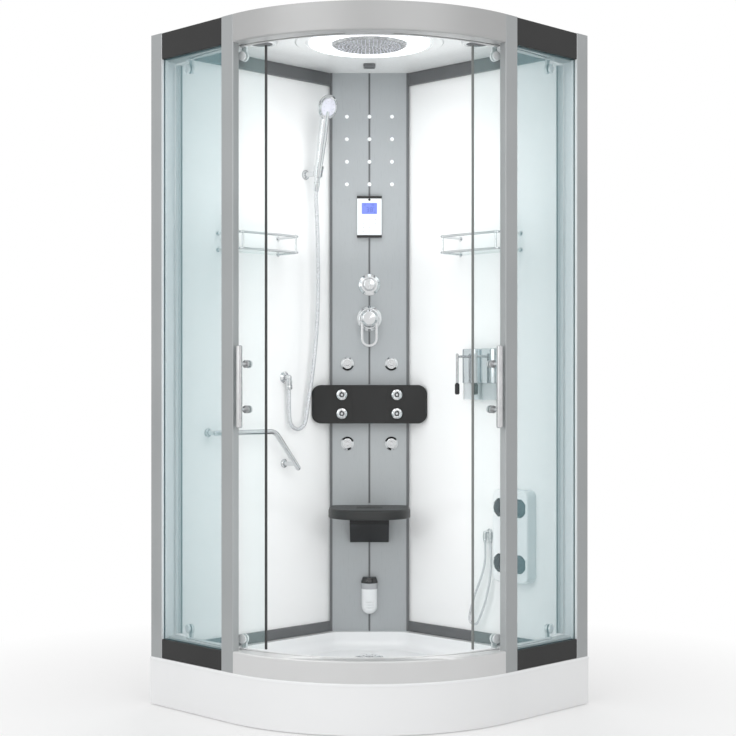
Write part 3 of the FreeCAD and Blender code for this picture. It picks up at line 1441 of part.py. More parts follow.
def hand_shower():
    grip = turned([(0, 0), (9, 0), (9, 14), (grip_foot_radius, grip_taper_start),
                   (grip_radius, grip_taper_end), (16, 150, 40), (15, 214), (0, 214)])
    head = turned([(0, -14, 0), (20, -14, 6), (handset_head, -2, 4), (handset_head, 6, 3),
                   (handset_face + 4, 9, 1), (handset_face, 7), (0, 7)])
    neck = rod(14, (0, 0, 206), (0, -2, handset_length - 14))
    spray = [head]
    for k in range(handset_nozzles):
        angle = 2 * math.pi * k / handset_nozzles
        x, y = handset_nozzle_ring * math.cos(angle), handset_nozzle_ring * math.sin(angle)
        spray.append(rod(handset_nozzle_radius, (x, y, 4), (x, y, 9)))
    tilted = []
    for shape in spray:
        shape.rotate(Vector(0, 0, 0), Vector(1, 0, 0), 90 + handset_tilt)
        tilted.append(shape.translated(Vector(0, -8, handset_length)))
    return leaned(fused(grip, neck, *tilted))


def shower_cradle():
    """Wall rose and arm with a split cone that holds the handset's neck."""
    low, high = grip_taper_start + 2, grip_taper_start + 2 + cradle_height
    rise = (grip_radius - grip_foot_radius) / (grip_taper_end - grip_taper_start)
    inner = [grip_foot_radius + joint_gap + rise * (z - grip_taper_start) for z in (low, high)]
    cone = turned([(inner[0], low), (inner[0] + cradle_wall, low, 1), (inner[1] + cradle_wall, high, 1),
                   (inner[1], high)])
    cone = cone.cut(box(-cradle_slot / 2, cradle_slot / 2, -30, 0, 0, 90))
    cone.rotate(Vector(0, 0, 0), Vector(1, 0, 0), shower_lean)
    cone = cone.translated(Vector(0, wall_inner - shower_standoff, shower_foot))
    z = shower_foot + cradle_rise
    rose = turned([(0, 0), (cradle_rose, 0), (cradle_rose, 4, 2), (cradle_rose - 5, 9, 3), (0, 9)])
    rose = facing_front(rose, 0, wall_inner, z)
    arm = rod(9, (0, wall_inner - 4, z), (0, wall_inner - shower_standoff, z))
    room = turned([(0, -20), (inner[0] + 1, -20), (inner[0] + 1, low), (inner[1] + 1, high),
                   (inner[1] + 1, high + 60), (0, high + 60)])
    room.rotate(Vector(0, 0, 0), Vector(1, 0, 0), shower_lean)
    arm = arm.cut(room.translated(Vector(0, wall_inner - shower_standoff, shower_foot)))
    return on_left_wall(fused(rose, arm, cone).translated(Vector(shower_along, 0, 0)))


def wall_elbow(x, z, standoff, stub, nut, flange):
    """Rose, elbow and downward nipple on the right wall's front view."""
    y = wall_inner - standoff
    rose = facing_front(turned([(0, 0), (flange, 0), (flange, 3, 1), (nut, 7, 2), (0, 7)]), x, wall_inner, z)
    arm = rod(nut - 2, (x, wall_inner - 3, z), (x, y, z))
    ball = Part.makeSphere(nut - 2, Vector(x, y, z))
    drop = rod(nut - 2, (x, y, z), (x, y, z - stub + 2))
    collar = rod(nut, (x, y, z - stub), (x, y, z - stub * 0.45))
    return fused(rose, arm, ball, drop, collar)


def down_from(height, places):
    return [(x, y, height - drop) for x, y, drop in places]


shower_route = down_from(shower_foot, [
    (-395.03, 138.0, 0.2), (-401.95, 138.0, 39.4), (-404.0, 146.0, 116.0), (-406.0, 152.5, 230.0),
    (-408.0, 156.5, 342.0), (-411.0, 156.0, 458.0), (-414.0, 149.0, 568.0), (-416.5, 138.0, 660.0)])
shower_route += down_from(elbow_height, [
    (-419.0, 125.0, 56.0), (-421.5, 115.9, 117.6), (-423.0, 108.6, 159.1), (-424.0, 93.3, 174.9),
    (-425.0, 71.8, 179.5), (-426.0, 51.4, 171.3), (-426.9, 39.4, 153.0), (-429.0, 38.0, 110.0),
    (-430.0, 39.1, 65.0), (-430.0, 39.1, 26.0)])
foot_route = down_from(foot_elbow_height, [
    (120.4, 430.0, 18.0), (120.4, 430.0, 51.0), (122.5, 429.0, 94.0), (111.0, 427.0, 141.0),
    (92.0, 425.0, 185.0), (73.5, 424.0, 228.5), (60.2, 423.5, 271.0), (55.2, 423.5, 294.2),
    (59.2, 423.5, 305.6), (68.9, 424.0, 312.8), (81.0, 424.0, 313.5), (91.4, 424.5, 307.4),
    (101.8, 425.0, 286.5), (119.5, 426.5, 246.0), (134.0, 428.0, 198.0), (144.5, 429.5, 146.0),
    (148.5, 430.0, 95.0), (144.6, 430.0, 51.0), (144.6, 430.0, 18.0)])


# ================= wall fittings =================

def shelf_rails():
    """Gallery of two rods with short posts, and the clips under the glass."""
    front = wall_inner - shelf_reach
    left, right = shelf_left_end, shelf_right_end
    r = shelf_rod_radius
    parts = []
    for z in (shelf_upper, shelf_lower):
        gallery = [(left, wall_inner, z), (left, front, z), (right, front, z), (right, wall_inner, z)]
        parts.append(bent_tube(gallery, r, 18))
        for x in (left, right):
            rose = turned([(0, 0), (8, 0), (8, shelf_rose, 1), (0, shelf_rose)])
            parts.append(facing_front(rose, x, wall_inner, z))
    for x in (left + shelf_post_inset, right - shelf_post_inset):
        parts.append(rod(r * 0.9, (x, front, shelf_lower), (x, front, shelf_upper)))
        parts.append(Part.makeSphere(r + 2, Vector(x, front, shelf_upper)))
    return fused(*parts)


def shelf_glass():
    front = wall_inner - shelf_reach + shelf_rod_radius + joint_gap
    left = shelf_left_end + shelf_rod_radius + joint_gap
    right = shelf_right_end - shelf_rod_radius - joint_gap
    z = shelf_lower - shelf_rod_radius
    back = wall_inner - shelf_rose - joint_gap
    glass = plate([(left, front, 16), (right, front, 16), (right, back, 2), (left, back, 2)],
                  z, z + shelf_glass_thickness)
    return glass


def grab_bar():
    y = wall_inner - bar_standoff
    line = [(bar_left, y, bar_upper), (bar_bend, y, bar_upper), (bar_right, y, bar_lower)]
    bar = bent_tube(line, bar_radius, 45)
    slope = Vector(bar_right - bar_bend, 0, bar_lower - bar_upper).normalize()
    supports = [(bar_left + 18, bar_upper), (bar_right - slope.x * 18, bar_lower - slope.z * 18)]
    parts = [bar, Part.makeSphere(bar_radius, Vector(bar_left, y, bar_upper)),
             Part.makeSphere(bar_radius, Vector(bar_right, y, bar_lower))]
    for x, z in supports:
        parts.append(rod(bar_radius - 1.5, (x, y, z), (x, wall_inner - 3, z)))
        rose = turned([(0, 0), (bar_flange, 0), (bar_flange, 4, 2), (bar_flange - 5, 8, 3), (0, 8)])
        parts.append(facing_front(rose, x, wall_inner, z))
    return on_left_wall(fused(*parts))


def soap_parts():
    """Twin dispenser: chrome body on a back plate, clear cups below, two pump levers."""
    middle = (soap_left + soap_right) / 2
    cell = (soap_right - soap_left) / 2
    front, rear = wall_inner - soap_depth, wall_inner - 8
    back = plate([(soap_left, rear, 3), (soap_right, rear, 3), (soap_right, wall_inner),
                  (soap_left, wall_inner)], soap_bottom + 10, soap_top - 6)

    def cell_shape(x, reach, inset, rear_inset, corner, z0, z1):
        near, far = front + inset, rear - rear_inset
        return plate([(x - reach, near, corner), (x + reach, near, corner), (x + reach, far),
                      (x - reach, far)], z0, z1)

    bodies, cups, levers = [back], [], []
    for x in (middle - cell / 2, middle + cell / 2):
        w = cell / 2 - 1.5
        shell = cell_shape(x, w, 0, 0, 26, soap_body_bottom, soap_top)
        rim = [e for e in edges_at_height(shell, soap_top) if e.CenterOfMass.y < rear - 1]
        shell = shell.makeFillet(3, rim)
        inside = cell_shape(x, w - 3, 3, 3, 23, soap_body_bottom - 1, soap_top - 3)
        lever_x = x - soap_lever_shift
        guide = rod(soap_stem_radius + joint_gap, (lever_x, front - 1, soap_stem_height),
                    (lever_x, front + 20, soap_stem_height))
        bodies.append(cut(shell, inside, guide))
        cup = cell_shape(x, w - 2, 3, 1, 24, soap_bottom, soap_body_bottom - joint_gap)
        hollow = cell_shape(x, w - 2 - soap_wall, 3 + soap_wall, 1 + soap_wall, 21,
                            soap_bottom + soap_wall, soap_body_bottom + 1)
        cups.append(cup.cut(hollow))
        strap_y = front - soap_lever_reach
        strap = plate(rectangle(10, soap_stem_height - soap_tip_height + 20, 4.9, 0, 0), 0, 3)
        strap = facing_front(strap, lever_x, strap_y + 3, (soap_stem_height + soap_tip_height) / 2)
        tip = plate(rectangle(soap_lever_width, 38, 6), 0, 8)
        tip = facing_front(tip, lever_x, strap_y + 5.5, soap_tip_height)
        stem = rod(soap_stem_radius, (lever_x, strap_y + 1, soap_stem_height),
                   (lever_x, front + 22, soap_stem_height))
        levers.append(fused(strap, tip, stem))
    return fused(*bodies), cups, levers


def foot_parts():
    """Wall housing with two pockets, and the two barrel rollers on their stub shafts."""
    x0, x1 = foot_centre - foot_width / 2, foot_centre + foot_width / 2
    front = wall_inner - foot_depth
    outline = [(x0, foot_bottom, 22), (x1, foot_bottom, 22), (x1, foot_top, 22), (x0, foot_top, 22)]
    housing = facing_front(plate(outline, 0, foot_depth), 0, wall_inner, 0)
    front_edges = [e for e in housing.Edges if all(abs(v.Y - front) < 1e-6 for v in e.Vertexes)]
    housing = housing.makeFillet(7, front_edges)
    axis_y = front - roller_proud + roller_radius
    pockets, rollers = [], []
    reach = roller_length / 2

    def barrel(swell, pin, pin_reach):
        end = reach + swell / 2
        shape = turned([(0, -pin_reach), (pin, -pin_reach), (pin, -end), (roller_radius / 2 + swell, -end),
                        (roller_radius + swell, roller_taper - end, 14),
                        (roller_radius + swell, end - roller_taper, 14), (roller_radius / 2 + swell, end),
                        (pin, end), (pin, pin_reach), (0, pin_reach)])
        shape.rotate(Vector(0, 0, 0), Vector(0, 1, 0), 90)
        return shape

    grooves = [turned([(roller_radius - 3, g - 1.5), (roller_radius + 3, g - 1.5),
                       (roller_radius + 3, g + 1.5), (roller_radius - 3, g + 1.5)])
               for g in (-roller_groove, 0, roller_groove)]
    for groove in grooves:
        groove.rotate(Vector(0, 0, 0), Vector(0, 1, 0), 90)
    roller = cut(barrel(0, roller_pin, reach + 4), *grooves)
    for z in roller_heights:
        place = Vector(foot_centre, axis_y, z)
        pockets.append(barrel(3, roller_pin + 0.1, reach + 5).translated(place))
        rollers.append(roller.translated(place))
    gap_low, gap_high = roller_heights[0] + roller_radius + 14, roller_heights[1] - roller_radius - 14
    panel = plate(rectangle(36, gap_high - gap_low, 10), -1, 12)
    pockets.append(facing_front(panel, foot_centre, front + 11, (gap_low + gap_high) / 2))
    return cut(housing, *pockets), rollers, axis_y


# ================= assembly =================

os.makedirs("parts", exist_ok=True)
total = 0


def save(name, shapes):
    global total
    solids = []
    for shape in shapes:
        solids += shape.Solids
    for solid in solids:
        if not solid.isValid() or solid.Volume <= 0:
            print("PROBLEM", name, solid.isValid(), solid.Volume)
    result = solids[0] if len(solids) == 1 else Part.makeCompound(solids)
    result.exportStep(os.path.join("parts", name + ".step"))
    facets = sum(len(s.tessellate(0.4)[1]) for s in solids)
    total += facets
    reach = result.BoundBox
    print("%-22s %2d solids %5d facets  x %7.1f %7.1f  y %7.1f %7.1f  z %7.1f %7.1f" % (
        name, len(solids), facets, reach.XMin, reach.XMax, reach.YMin, reach.YMax, reach.ZMin, reach.ZMax))


def pair(shape):
    return [shape, mirrored(shape)]


support, foot_places = tray_frame()
trap, drain_cover = drain_parts()
save("tray_shell", [tray_shell()])
save("tray_apron", [tray_apron()])
save("tray_frame", [support])
save("tray_feet", tray_feet(foot_places))
save("drain_trap", [trap])
save("drain_cover", [drain_cover])
save("bottom_rail", [rail(tray_height, sill_top, False)])
save("top_rail", [rail(header_bottom, cabin_height, True)])
save("front_posts", pair(front_post()))
save("wall_profiles", pair(wall_profile()))
save("side_glass", pair(side_glass()))
save("corner_covers", corner_covers() + [mirrored(c) for c in corner_covers()])
left_wall = rear_wall()
save("rear_wall_left", [left_wall])
save("rear_wall_right", [mirrored(left_wall)])
save("dark_trims", wall_trims() + [mirrored(t) for t in wall_trims()] + column_trims())
save("column_panel", [column_panel()])
save("horizontal_jets", horizontal_jets())
save("roof_shell", [roof_shell()])
save("light_ring", [light_ring()])
save("rain_head", [rain_head()])
save("roof_grilles", roof_grilles())
fan_housing, fan_rotor, fan_place = fan_parts()
save("fan_housing", [fan_housing])
save("fan_rotor", [fan_rotor])
panel, screen = control_panel()
save("control_panel", [panel])
save("control_screen", [screen])
save("valve_plates", valve_plates())
save("diverter_knob", [diverter_knob()])
mixer_cap, mixer_lever = mixer_parts()
save("mixer_cap", [mixer_cap])
save("mixer_lever", [mixer_lever])
save("valves_and_pipes", valves_and_pipes())
rings, nozzles = body_jets()
save("jet_rings", rings)
for number, nozzle in enumerate(nozzles):
    save("jet_nozzle_%d" % (number + 1), [nozzle])
save("backrest_pad", [backrest_pad()])
bracket, seat, seat_pin = seat_parts()
save("seat_bracket", [bracket])
save("seat_plate", [seat])
save("steam_outlet", steam_outlet())
save("steam_generator", [steam_generator()])
save("hand_shower", [hand_shower()])
save("shower_cradle", [shower_cradle()])
save("wall_elbows", [on_left_wall(wall_elbow(elbow_along, elbow_height, elbow_standoff, 26, 11, 20))]
     + [wall_elbow(x, foot_elbow_height, elbow_standoff, 18, 8, 11.5) for x in foot_elbow_places])
save("shower_hose", [hose("shower_hose", shower_route, hose_radius)])
save("foot_hose", [hose("foot_hose", foot_route, foot_hose_radius)])
save("shelf_rails", [on_left_wall(shelf_rails()), mirrored(on_left_wall(shelf_rails()))])
save("shelf_glass", [on_left_wall(shelf_glass()), mirrored(on_left_wall(shelf_glass()))])
save("grab_bar", [grab_bar()])
soap_body, soap_cups, soap_levers = soap_parts()
save("soap_dispenser", [soap_body] + soap_cups)
save("soap_lever_left", [soap_levers[0]])
save("soap_lever_right", [soap_levers[1]])
foot_housing, foot_rollers, foot_axis = foot_parts()
save("foot_massager", [foot_housing])
save("foot_roller_lower", [foot_rollers[0]])
save("foot_roller_upper", [foot_rollers[1]])
glass = opened_door(door_glass())
save("door_glass_left", [glass])
save("door_glass_right", [mirrored(glass)])
seals = [opened_door(s) for s in door_seals()]
save("door_seals_left", seals)
save("door_seals_right", [mirrored(s) for s in seals])
hardware = [opened_door(p) for p in door_hardware()]
save("door_hardware_left", hardware)
save("door_hardware_right", [mirrored(p) for p in hardware])
print("facets", total)
print("door pole", [round(v, 3) for v in door["pole"]], "travel", round(door["travel"], 3),
      "circle", round(door["circle"], 2))
print("fan", [round(v, 2) for v in fan_place], "seat pin", seat_pin, "foot axis", foot_axis)
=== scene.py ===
import math

import bmesh
import bpy
from mathutils import Matrix, Vector


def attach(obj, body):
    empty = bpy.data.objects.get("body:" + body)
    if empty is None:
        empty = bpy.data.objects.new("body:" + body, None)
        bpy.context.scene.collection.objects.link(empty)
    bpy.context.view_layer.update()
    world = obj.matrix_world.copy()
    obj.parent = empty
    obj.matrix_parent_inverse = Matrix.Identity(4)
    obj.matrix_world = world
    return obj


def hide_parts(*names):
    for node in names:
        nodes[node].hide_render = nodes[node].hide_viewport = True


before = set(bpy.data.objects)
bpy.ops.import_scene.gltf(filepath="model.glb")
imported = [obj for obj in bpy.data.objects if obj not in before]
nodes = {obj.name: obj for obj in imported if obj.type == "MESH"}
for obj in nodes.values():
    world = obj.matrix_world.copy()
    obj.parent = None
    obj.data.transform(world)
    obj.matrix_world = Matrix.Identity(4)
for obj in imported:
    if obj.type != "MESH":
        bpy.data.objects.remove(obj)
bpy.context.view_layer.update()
dressed = []
half = math.sqrt(0.5)


def onColumn(across, back, up):   # the cabin as seen from its front corner
    return Vector(((across - back) * half, (across + back) * half, up))


# the camera, fitted to the photograph
cameraSet = {"distance": 4.8608, "height": 1.0306, "lens": 73.87, "shift": (-0.0019, 0.0213)}

photoCamera = bpy.data.objects.new("photoCamera", bpy.data.cameras.new("photoCamera"))
photoCamera.data.lens = cameraSet["lens"]
photoCamera.data.shift_x, photoCamera.data.shift_y = cameraSet["shift"]
photoCamera.location = onColumn(0, -cameraSet["distance"], cameraSet["height"])
photoCamera.rotation_euler = (math.radians(90), 0, math.radians(45))
bpy.context.scene.collection.objects.link(photoCamera)
bpy.context.scene.camera = photoCamera
bpy.context.scene.view_settings.view_transform = "Standard"
print("camera is up")


# material building blocks
def newNode(tree, kind, links=(), **settings):
    node = tree.nodes.new(kind)
    for name, value in settings.items():
        setattr(node, name, value)
    for name, value in links:
        if hasattr(value, "is_output"):
            tree.links.new(value, node.inputs[name])
        else:
            node.inputs[name].default_value = value
    return node


def coordinates(tree, stretch=(1, 1, 1)):
    spot = newNode(tree, "ShaderNodeTexCoord").outputs["Object"]
    return newNode(tree, "ShaderNodeMapping", [("Vector", spot), ("Scale", stretch)]).outputs[0]


def grain(tree, size, stretch=(1, 1, 1), detail=3.0):
    return newNode(tree, "ShaderNodeTexNoise", [("Vector", coordinates(tree, stretch)),
                   ("Scale", 1 / size), ("Detail", detail)]).outputs["Fac"]


def spread(tree, value, low, high, fromLow=0.3, fromHigh=0.7):
    return newNode(tree, "ShaderNodeMapRange", [("Value", value), ("From Min", fromLow),
                   ("From Max", fromHigh), ("To Min", low), ("To Max", high)]).outputs[0]


def combine(tree, operation, a, b):
    return newNode(tree, "ShaderNodeMath", [(0, a), (1, b)], operation=operation).outputs[0]


def mixColour(tree, amount, first, second):
    node = newNode(tree, "ShaderNodeMix", data_type="RGBA")
    for socket, value in ((0, amount), (6, first), (7, second)):   # 6 and 7 are its two colours
        if hasattr(value, "is_output"):
            tree.links.new(value, node.inputs[socket])
        else:
            node.inputs[socket].default_value = value if socket == 0 else (*value, 1)
    return node.outputs[2]


def raised(tree, height, distance):
    return newNode(tree, "ShaderNodeBump", [("Height", height), ("Distance", distance),
                   ("Strength", 1.0)]).outputs[0]


def band(tree, value, low, high, edge=0.0004):   # 1 between low and high
    rising = spread(tree, value, 0, 1, low - edge, low + edge)
    falling = spread(tree, value, 1, 0, high - edge, high + edge)
    return combine(tree, "MULTIPLY", rising, falling)


def finish(name, look):
    material = bpy.data.materials.new(name)
    material.use_nodes = True
    tree = material.node_tree
    shader = tree.nodes["Principled BSDF"]
    cloud = grain(tree, look.get("cloud", 0.25), detail=2.0)
    fine = grain(tree, look["grain"], look.get("stretch", (1, 1, 1)), look.get("detail", 3.0))
    mixed = mixColour(tree, spread(tree, cloud, 0, 1), look["colour"], look["shade"])
    if "fleck" in look:
        mixed = mixColour(tree, spread(tree, fine, 0, look["fleck"][3]), mixed, look["fleck"][:3])
    tree.links.new(mixed, shader.inputs["Base Color"])
    tree.links.new(spread(tree, fine, *look["roughness"]), shader.inputs["Roughness"])
    tree.links.new(raised(tree, fine, look["relief"]), shader.inputs["Normal"])
    shader.inputs["Metallic"].default_value = look.get("metallic", 0.0)
    shader.inputs["Alpha"].default_value = look.get("alpha", 1.0)
    shader.inputs["Coat Weight"].default_value = look.get("coat", 0.0)
    shader.inputs["Specular IOR Level"].default_value = look.get("specular", 0.5)
    if "light" in look:
        shader.inputs["Emission Color"].default_value = (*look["light"][:3], 1)
        shader.inputs["Emission Strength"].default_value = look["light"][3]
    return material, tree, shader


def repaint(tree, shader, mask, colour):   # another colour where the mask is 1
    old = shader.inputs["Base Color"].links[0].from_socket
    tree.links.new(mixColour(tree, mask, old, colour), shader.inputs["Base Color"])


# grain, cloud and relief are lengths in metres; a low stretch draws the grain out along that axis;
# fleck is a colour and how much of it, light a glow's colour and strength
finishes = {
    "tray_white": {"colour": (0.84, 0.845, 0.85), "shade": (0.82, 0.825, 0.83), "grain": 0.006,
                   "cloud": 0.3, "roughness": (0.16, 0.22), "relief": 0.00002, "coat": 0.3},
    "basin_white": {"colour": (0.86, 0.87, 0.875), "shade": (0.84, 0.85, 0.86), "grain": 0.006,
                    "cloud": 0.3, "roughness": (0.18, 0.24), "relief": 0.00003, "coat": 0.3},
    "wall_white": {"colour": (0.90, 0.90, 0.90), "shade": (0.88, 0.885, 0.885), "grain": 0.012,
                   "cloud": 0.5, "roughness": (0.14, 0.2), "relief": 0.00003, "coat": 0.2},
    "roof_white": {"colour": (0.81, 0.82, 0.82), "shade": (0.79, 0.80, 0.805), "grain": 0.008,
                   "cloud": 0.3, "roughness": (0.18, 0.26), "relief": 0.00003, "coat": 0.2},
    "panel_white": {"colour": (0.82, 0.84, 0.85), "shade": (0.80, 0.82, 0.83), "grain": 0.003,
                    "cloud": 0.1, "roughness": (0.18, 0.26), "relief": 0.00001, "coat": 0.3},
    "column_grey": {"colour": (0.40, 0.42, 0.43), "shade": (0.365, 0.385, 0.40), "grain": 0.0015,
                    "cloud": 0.6, "stretch": (1, 1, 0.03), "roughness": (0.26, 0.38), "relief": 0.00001,
                    "coat": 0.25},
    "satin_aluminium": {"colour": (0.375, 0.39, 0.395), "shade": (0.35, 0.365, 0.37), "grain": 0.0012,
                        "stretch": (1, 1, 0.02), "roughness": (0.34, 0.46), "relief": 0.000008,
                        "metallic": 0.3},
    "rail_aluminium": {"colour": (0.41, 0.412, 0.412), "shade": (0.39, 0.392, 0.392), "grain": 0.0012,
                       "stretch": (0.02, 0.02, 1), "roughness": (0.34, 0.46), "relief": 0.000008,
                       "metallic": 0.3},
    # painted light: the bottom rail gets a much paler copy of the satin aluminium, standing in for the light
    # it catches
    "sill_aluminium": {"colour": (0.65, 0.652, 0.652), "shade": (0.62, 0.622, 0.622), "grain": 0.0012,
                       "stretch": (0.02, 0.02, 1), "roughness": (0.32, 0.44), "relief": 0.000008,
                       "metallic": 0.3},
    "black_cover": {"colour": (0.020, 0.020, 0.020), "shade": (0.025, 0.025, 0.025), "grain": 0.0009,
                    "roughness": (0.46, 0.6), "relief": 0.00002, "specular": 0.35},
    "dark_trim": {"colour": (0.14, 0.145, 0.15), "shade": (0.12, 0.125, 0.13), "grain": 0.001,
                  "stretch": (0.1, 0.1, 1), "roughness": (0.38, 0.48), "relief": 0.00001},
    "side_glass": {"colour": (0.22, 0.48, 0.54), "shade": (0.24, 0.50, 0.56), "grain": 0.09, "cloud": 0.8,
                   "roughness": (0.02, 0.05), "relief": 0.00001, "alpha": 0.13},
    "door_glass": {"colour": (0.45, 0.72, 0.72), "shade": (0.48, 0.74, 0.74), "grain": 0.09, "cloud": 0.8,
                   "roughness": (0.02, 0.05), "relief": 0.00001, "alpha": 0.08},
    "shelf_glass": {"colour": (0.34, 0.60, 0.60), "shade": (0.38, 0.64, 0.64), "grain": 0.05,
                    "cloud": 0.2, "roughness": (0.03, 0.06), "relief": 0.00001, "alpha": 0.16},
    "seal_dark": {"colour": (0.022, 0.022, 0.022), "shade": (0.03, 0.03, 0.03), "grain": 0.0015,
                  "stretch": (1, 1, 0.05), "roughness": (0.45, 0.6), "relief": 0.00002},
    "chrome": {"colour": (0.70, 0.71, 0.72), "shade": (0.66, 0.67, 0.68), "grain": 0.004, "cloud": 0.05,
               "roughness": (0.07, 0.12), "relief": 0.000004, "metallic": 1.0},
    "satin_chrome": {"colour": (0.60, 0.60, 0.61), "shade": (0.54, 0.545, 0.55), "grain": 0.001,
                     "cloud": 0.05, "stretch": (1, 1, 0.05), "roughness": (0.2, 0.3), "relief": 0.000006,
                     "metallic": 0.9},
    "dark_chrome": {"colour": (0.60, 0.605, 0.61), "shade": (0.24, 0.245, 0.25), "grain": 0.006,
                    "cloud": 0.012, "roughness": (0.2, 0.3), "relief": 0.000006, "metallic": 0.35},
    "brass": {"colour": (0.52, 0.38, 0.15), "shade": (0.42, 0.29, 0.11), "grain": 0.002, "cloud": 0.03,
              "roughness": (0.3, 0.5), "relief": 0.00003, "metallic": 1.0},
    "stainless_steel": {"colour": (0.46, 0.46, 0.46), "shade": (0.42, 0.42, 0.425), "grain": 0.0012,
                        "stretch": (0.03, 0.03, 1), "roughness": (0.26, 0.4), "relief": 0.00001,
                        "metallic": 1.0},
    "galvanised_steel": {"colour": (0.36, 0.38, 0.39), "shade": (0.28, 0.30, 0.31), "grain": 0.012,
                         "cloud": 0.04, "fleck": (0.46, 0.48, 0.50, 0.5), "detail": 0.5,
                         "roughness": (0.35, 0.55), "relief": 0.00001, "metallic": 0.8},
    "grey_plastic": {"colour": (0.27, 0.28, 0.29), "shade": (0.25, 0.26, 0.27), "grain": 0.0012,
                     "roughness": (0.45, 0.6), "relief": 0.00002},
    "black_plastic": {"colour": (0.010, 0.010, 0.011), "shade": (0.013, 0.013, 0.014), "grain": 0.0008,
                      "roughness": (0.36, 0.48), "relief": 0.00002, "specular": 0.4},
    "backrest_black": {"colour": (0.011, 0.011, 0.011), "shade": (0.014, 0.014, 0.014), "grain": 0.0009,
                       "roughness": (0.34, 0.46), "relief": 0.00004, "specular": 0.4},
    "seat_black": {"colour": (0.019, 0.020, 0.020), "shade": (0.023, 0.024, 0.024), "grain": 0.0007,
                   "roughness": (0.36, 0.5), "relief": 0.00005, "specular": 0.4},
    "roller_black": {"colour": (0.050, 0.053, 0.062), "shade": (0.062, 0.065, 0.075), "grain": 0.001,
                     "roughness": (0.35, 0.5), "relief": 0.00003},
    "screen_blue": {"colour": (0.16, 0.21, 0.66), "shade": (0.18, 0.235, 0.70), "grain": 0.0006,
                    "roughness": (0.08, 0.12), "relief": 0.000002, "light": (0.26, 0.33, 0.80, 0.12)},
    "light_diffuser": {"colour": (0.9, 0.92, 0.95), "shade": (0.88, 0.9, 0.94), "grain": 0.004,
                       "roughness": (0.3, 0.4), "relief": 0.00001, "light": (0.95, 0.98, 1.0, 0.9)},
    "hose_silver": {"colour": (0.66, 0.67, 0.69), "shade": (0.60, 0.61, 0.63), "grain": 0.002,
                    "cloud": 0.05, "roughness": (0.22, 0.32), "relief": 0.00001, "metallic": 0.5},
    # painted glow: the horizontal jets are no lamps, yet their white faces are given a faint glow to look
    # brighter
    "jet_white_painted_glow": {"colour": (0.88, 0.89, 0.90), "shade": (0.85, 0.86, 0.87), "grain": 0.002,
                  "cloud": 0.02, "roughness": (0.14, 0.22), "relief": 0.00001, "coat": 0.4,
                  "light": (1.0, 1.0, 1.0, 0.12)},
    "pale_silicone": {"colour": (0.70, 0.70, 0.77), "shade": (0.62, 0.62, 0.70), "grain": 0.001,
                      "cloud": 0.02, "roughness": (0.35, 0.5), "relief": 0.00002},
    "key_grey": {"colour": (0.34, 0.35, 0.37), "shade": (0.30, 0.31, 0.33), "grain": 0.0006,
                 "cloud": 0.01, "roughness": (0.4, 0.5), "relief": 0.000004},
    "digit_blue": {"colour": (0.06, 0.09, 0.38), "shade": (0.08, 0.11, 0.42), "grain": 0.0006,
                   "cloud": 0.01, "roughness": (0.2, 0.3), "relief": 0.000002},
}
made = {name: finish(name, look) for name, look in finishes.items()}

# record slot: nodes, then the finish where it isn't the slot's own
slotNodes = [
    ("tray_white", "tray_shell", "basin_white"), ("tray_white", "tray_apron", ""),
    ("galvanised_steel", "tray_frame", ""), ("grey_plastic", "drain_trap", ""),
    ("black_plastic", "tray_feet fan_housing fan_rotor seat_bracket soap_lever_left soap_lever_right", ""),
    ("satin_aluminium", "front_posts wall_profiles", ""), ("satin_aluminium", "top_rail", "rail_aluminium"),
    ("satin_aluminium", "bottom_rail", "sill_aluminium"), ("side_glass", "side_glass", ""),
    ("black_cover", "corner_covers", ""), ("wall_white", "rear_wall_left rear_wall_right", ""),
    ("dark_trim", "dark_trims roof_grilles", ""), ("column_grey", "column_panel", ""),
    ("chrome", "drain_cover valve_plates diverter_knob mixer_cap mixer_lever jet_rings jet_nozzle_1 "
     "jet_nozzle_2 jet_nozzle_3 jet_nozzle_4 hand_shower shower_cradle wall_elbows shelf_rails grab_bar "
     "soap_dispenser", ""), ("chrome", "horizontal_jets", "jet_white_painted_glow"),
    ("roof_white", "roof_shell", ""), ("light_diffuser", "light_ring", ""), ("dark_chrome", "rain_head", ""),
    ("panel_white", "control_panel steam_outlet foot_massager", ""), ("screen_blue", "control_screen", ""),
    ("brass", "valves_and_pipes", ""), ("backrest_black", "backrest_pad", ""),
    ("seat_black", "seat_plate", ""), ("stainless_steel", "steam_generator", ""),
    ("hose_silver", "shower_hose foot_hose", ""), ("shelf_glass", "shelf_glass", ""),
    ("roller_black", "foot_roller_lower foot_roller_upper", ""),
    ("door_glass", "door_glass_left door_glass_right", ""),
    ("seal_dark", "door_seals_left door_seals_right", ""),
    ("satin_chrome", "door_hardware_left door_hardware_right", ""),
]


def dress(piece, material):
    if piece.material_slots:
        for slot in piece.material_slots:
            slot.material = material
    else:
        piece.data.materials.append(material)


for slotName, members, ownFinish in slotNodes:
    for nodeName in members.split():
        dress(nodes[nodeName], made[ownFinish or slotName][0])
        dressed.append(nodeName)
print("finishes are on", len(dressed), "pieces")


# nodes that are moulded or plated in more than one colour, and nodes with painted light, shade or reflection
def part(name, base, nodeName):
    made[name] = finish(name, finishes[base])
    dress(nodes[nodeName], made[name][0])
    return made[name][1:]


def across(tree, axis, low, high, edge=0.0003):   # 1 between two heights or widths
    split = newNode(tree, "ShaderNodeSeparateXYZ", [(0, coordinates(tree))])
    return band(tree, split.outputs[axis], low, high, edge)


def near(tree, centre, radius, edge=0.0003):   # 1 inside a ball about a point
    gap = newNode(tree, "ShaderNodeVectorMath", [(0, coordinates(tree)), (1, centre)], operation="DISTANCE")
    return spread(tree, gap.outputs["Value"], 1, 0, radius - edge, radius + edge)


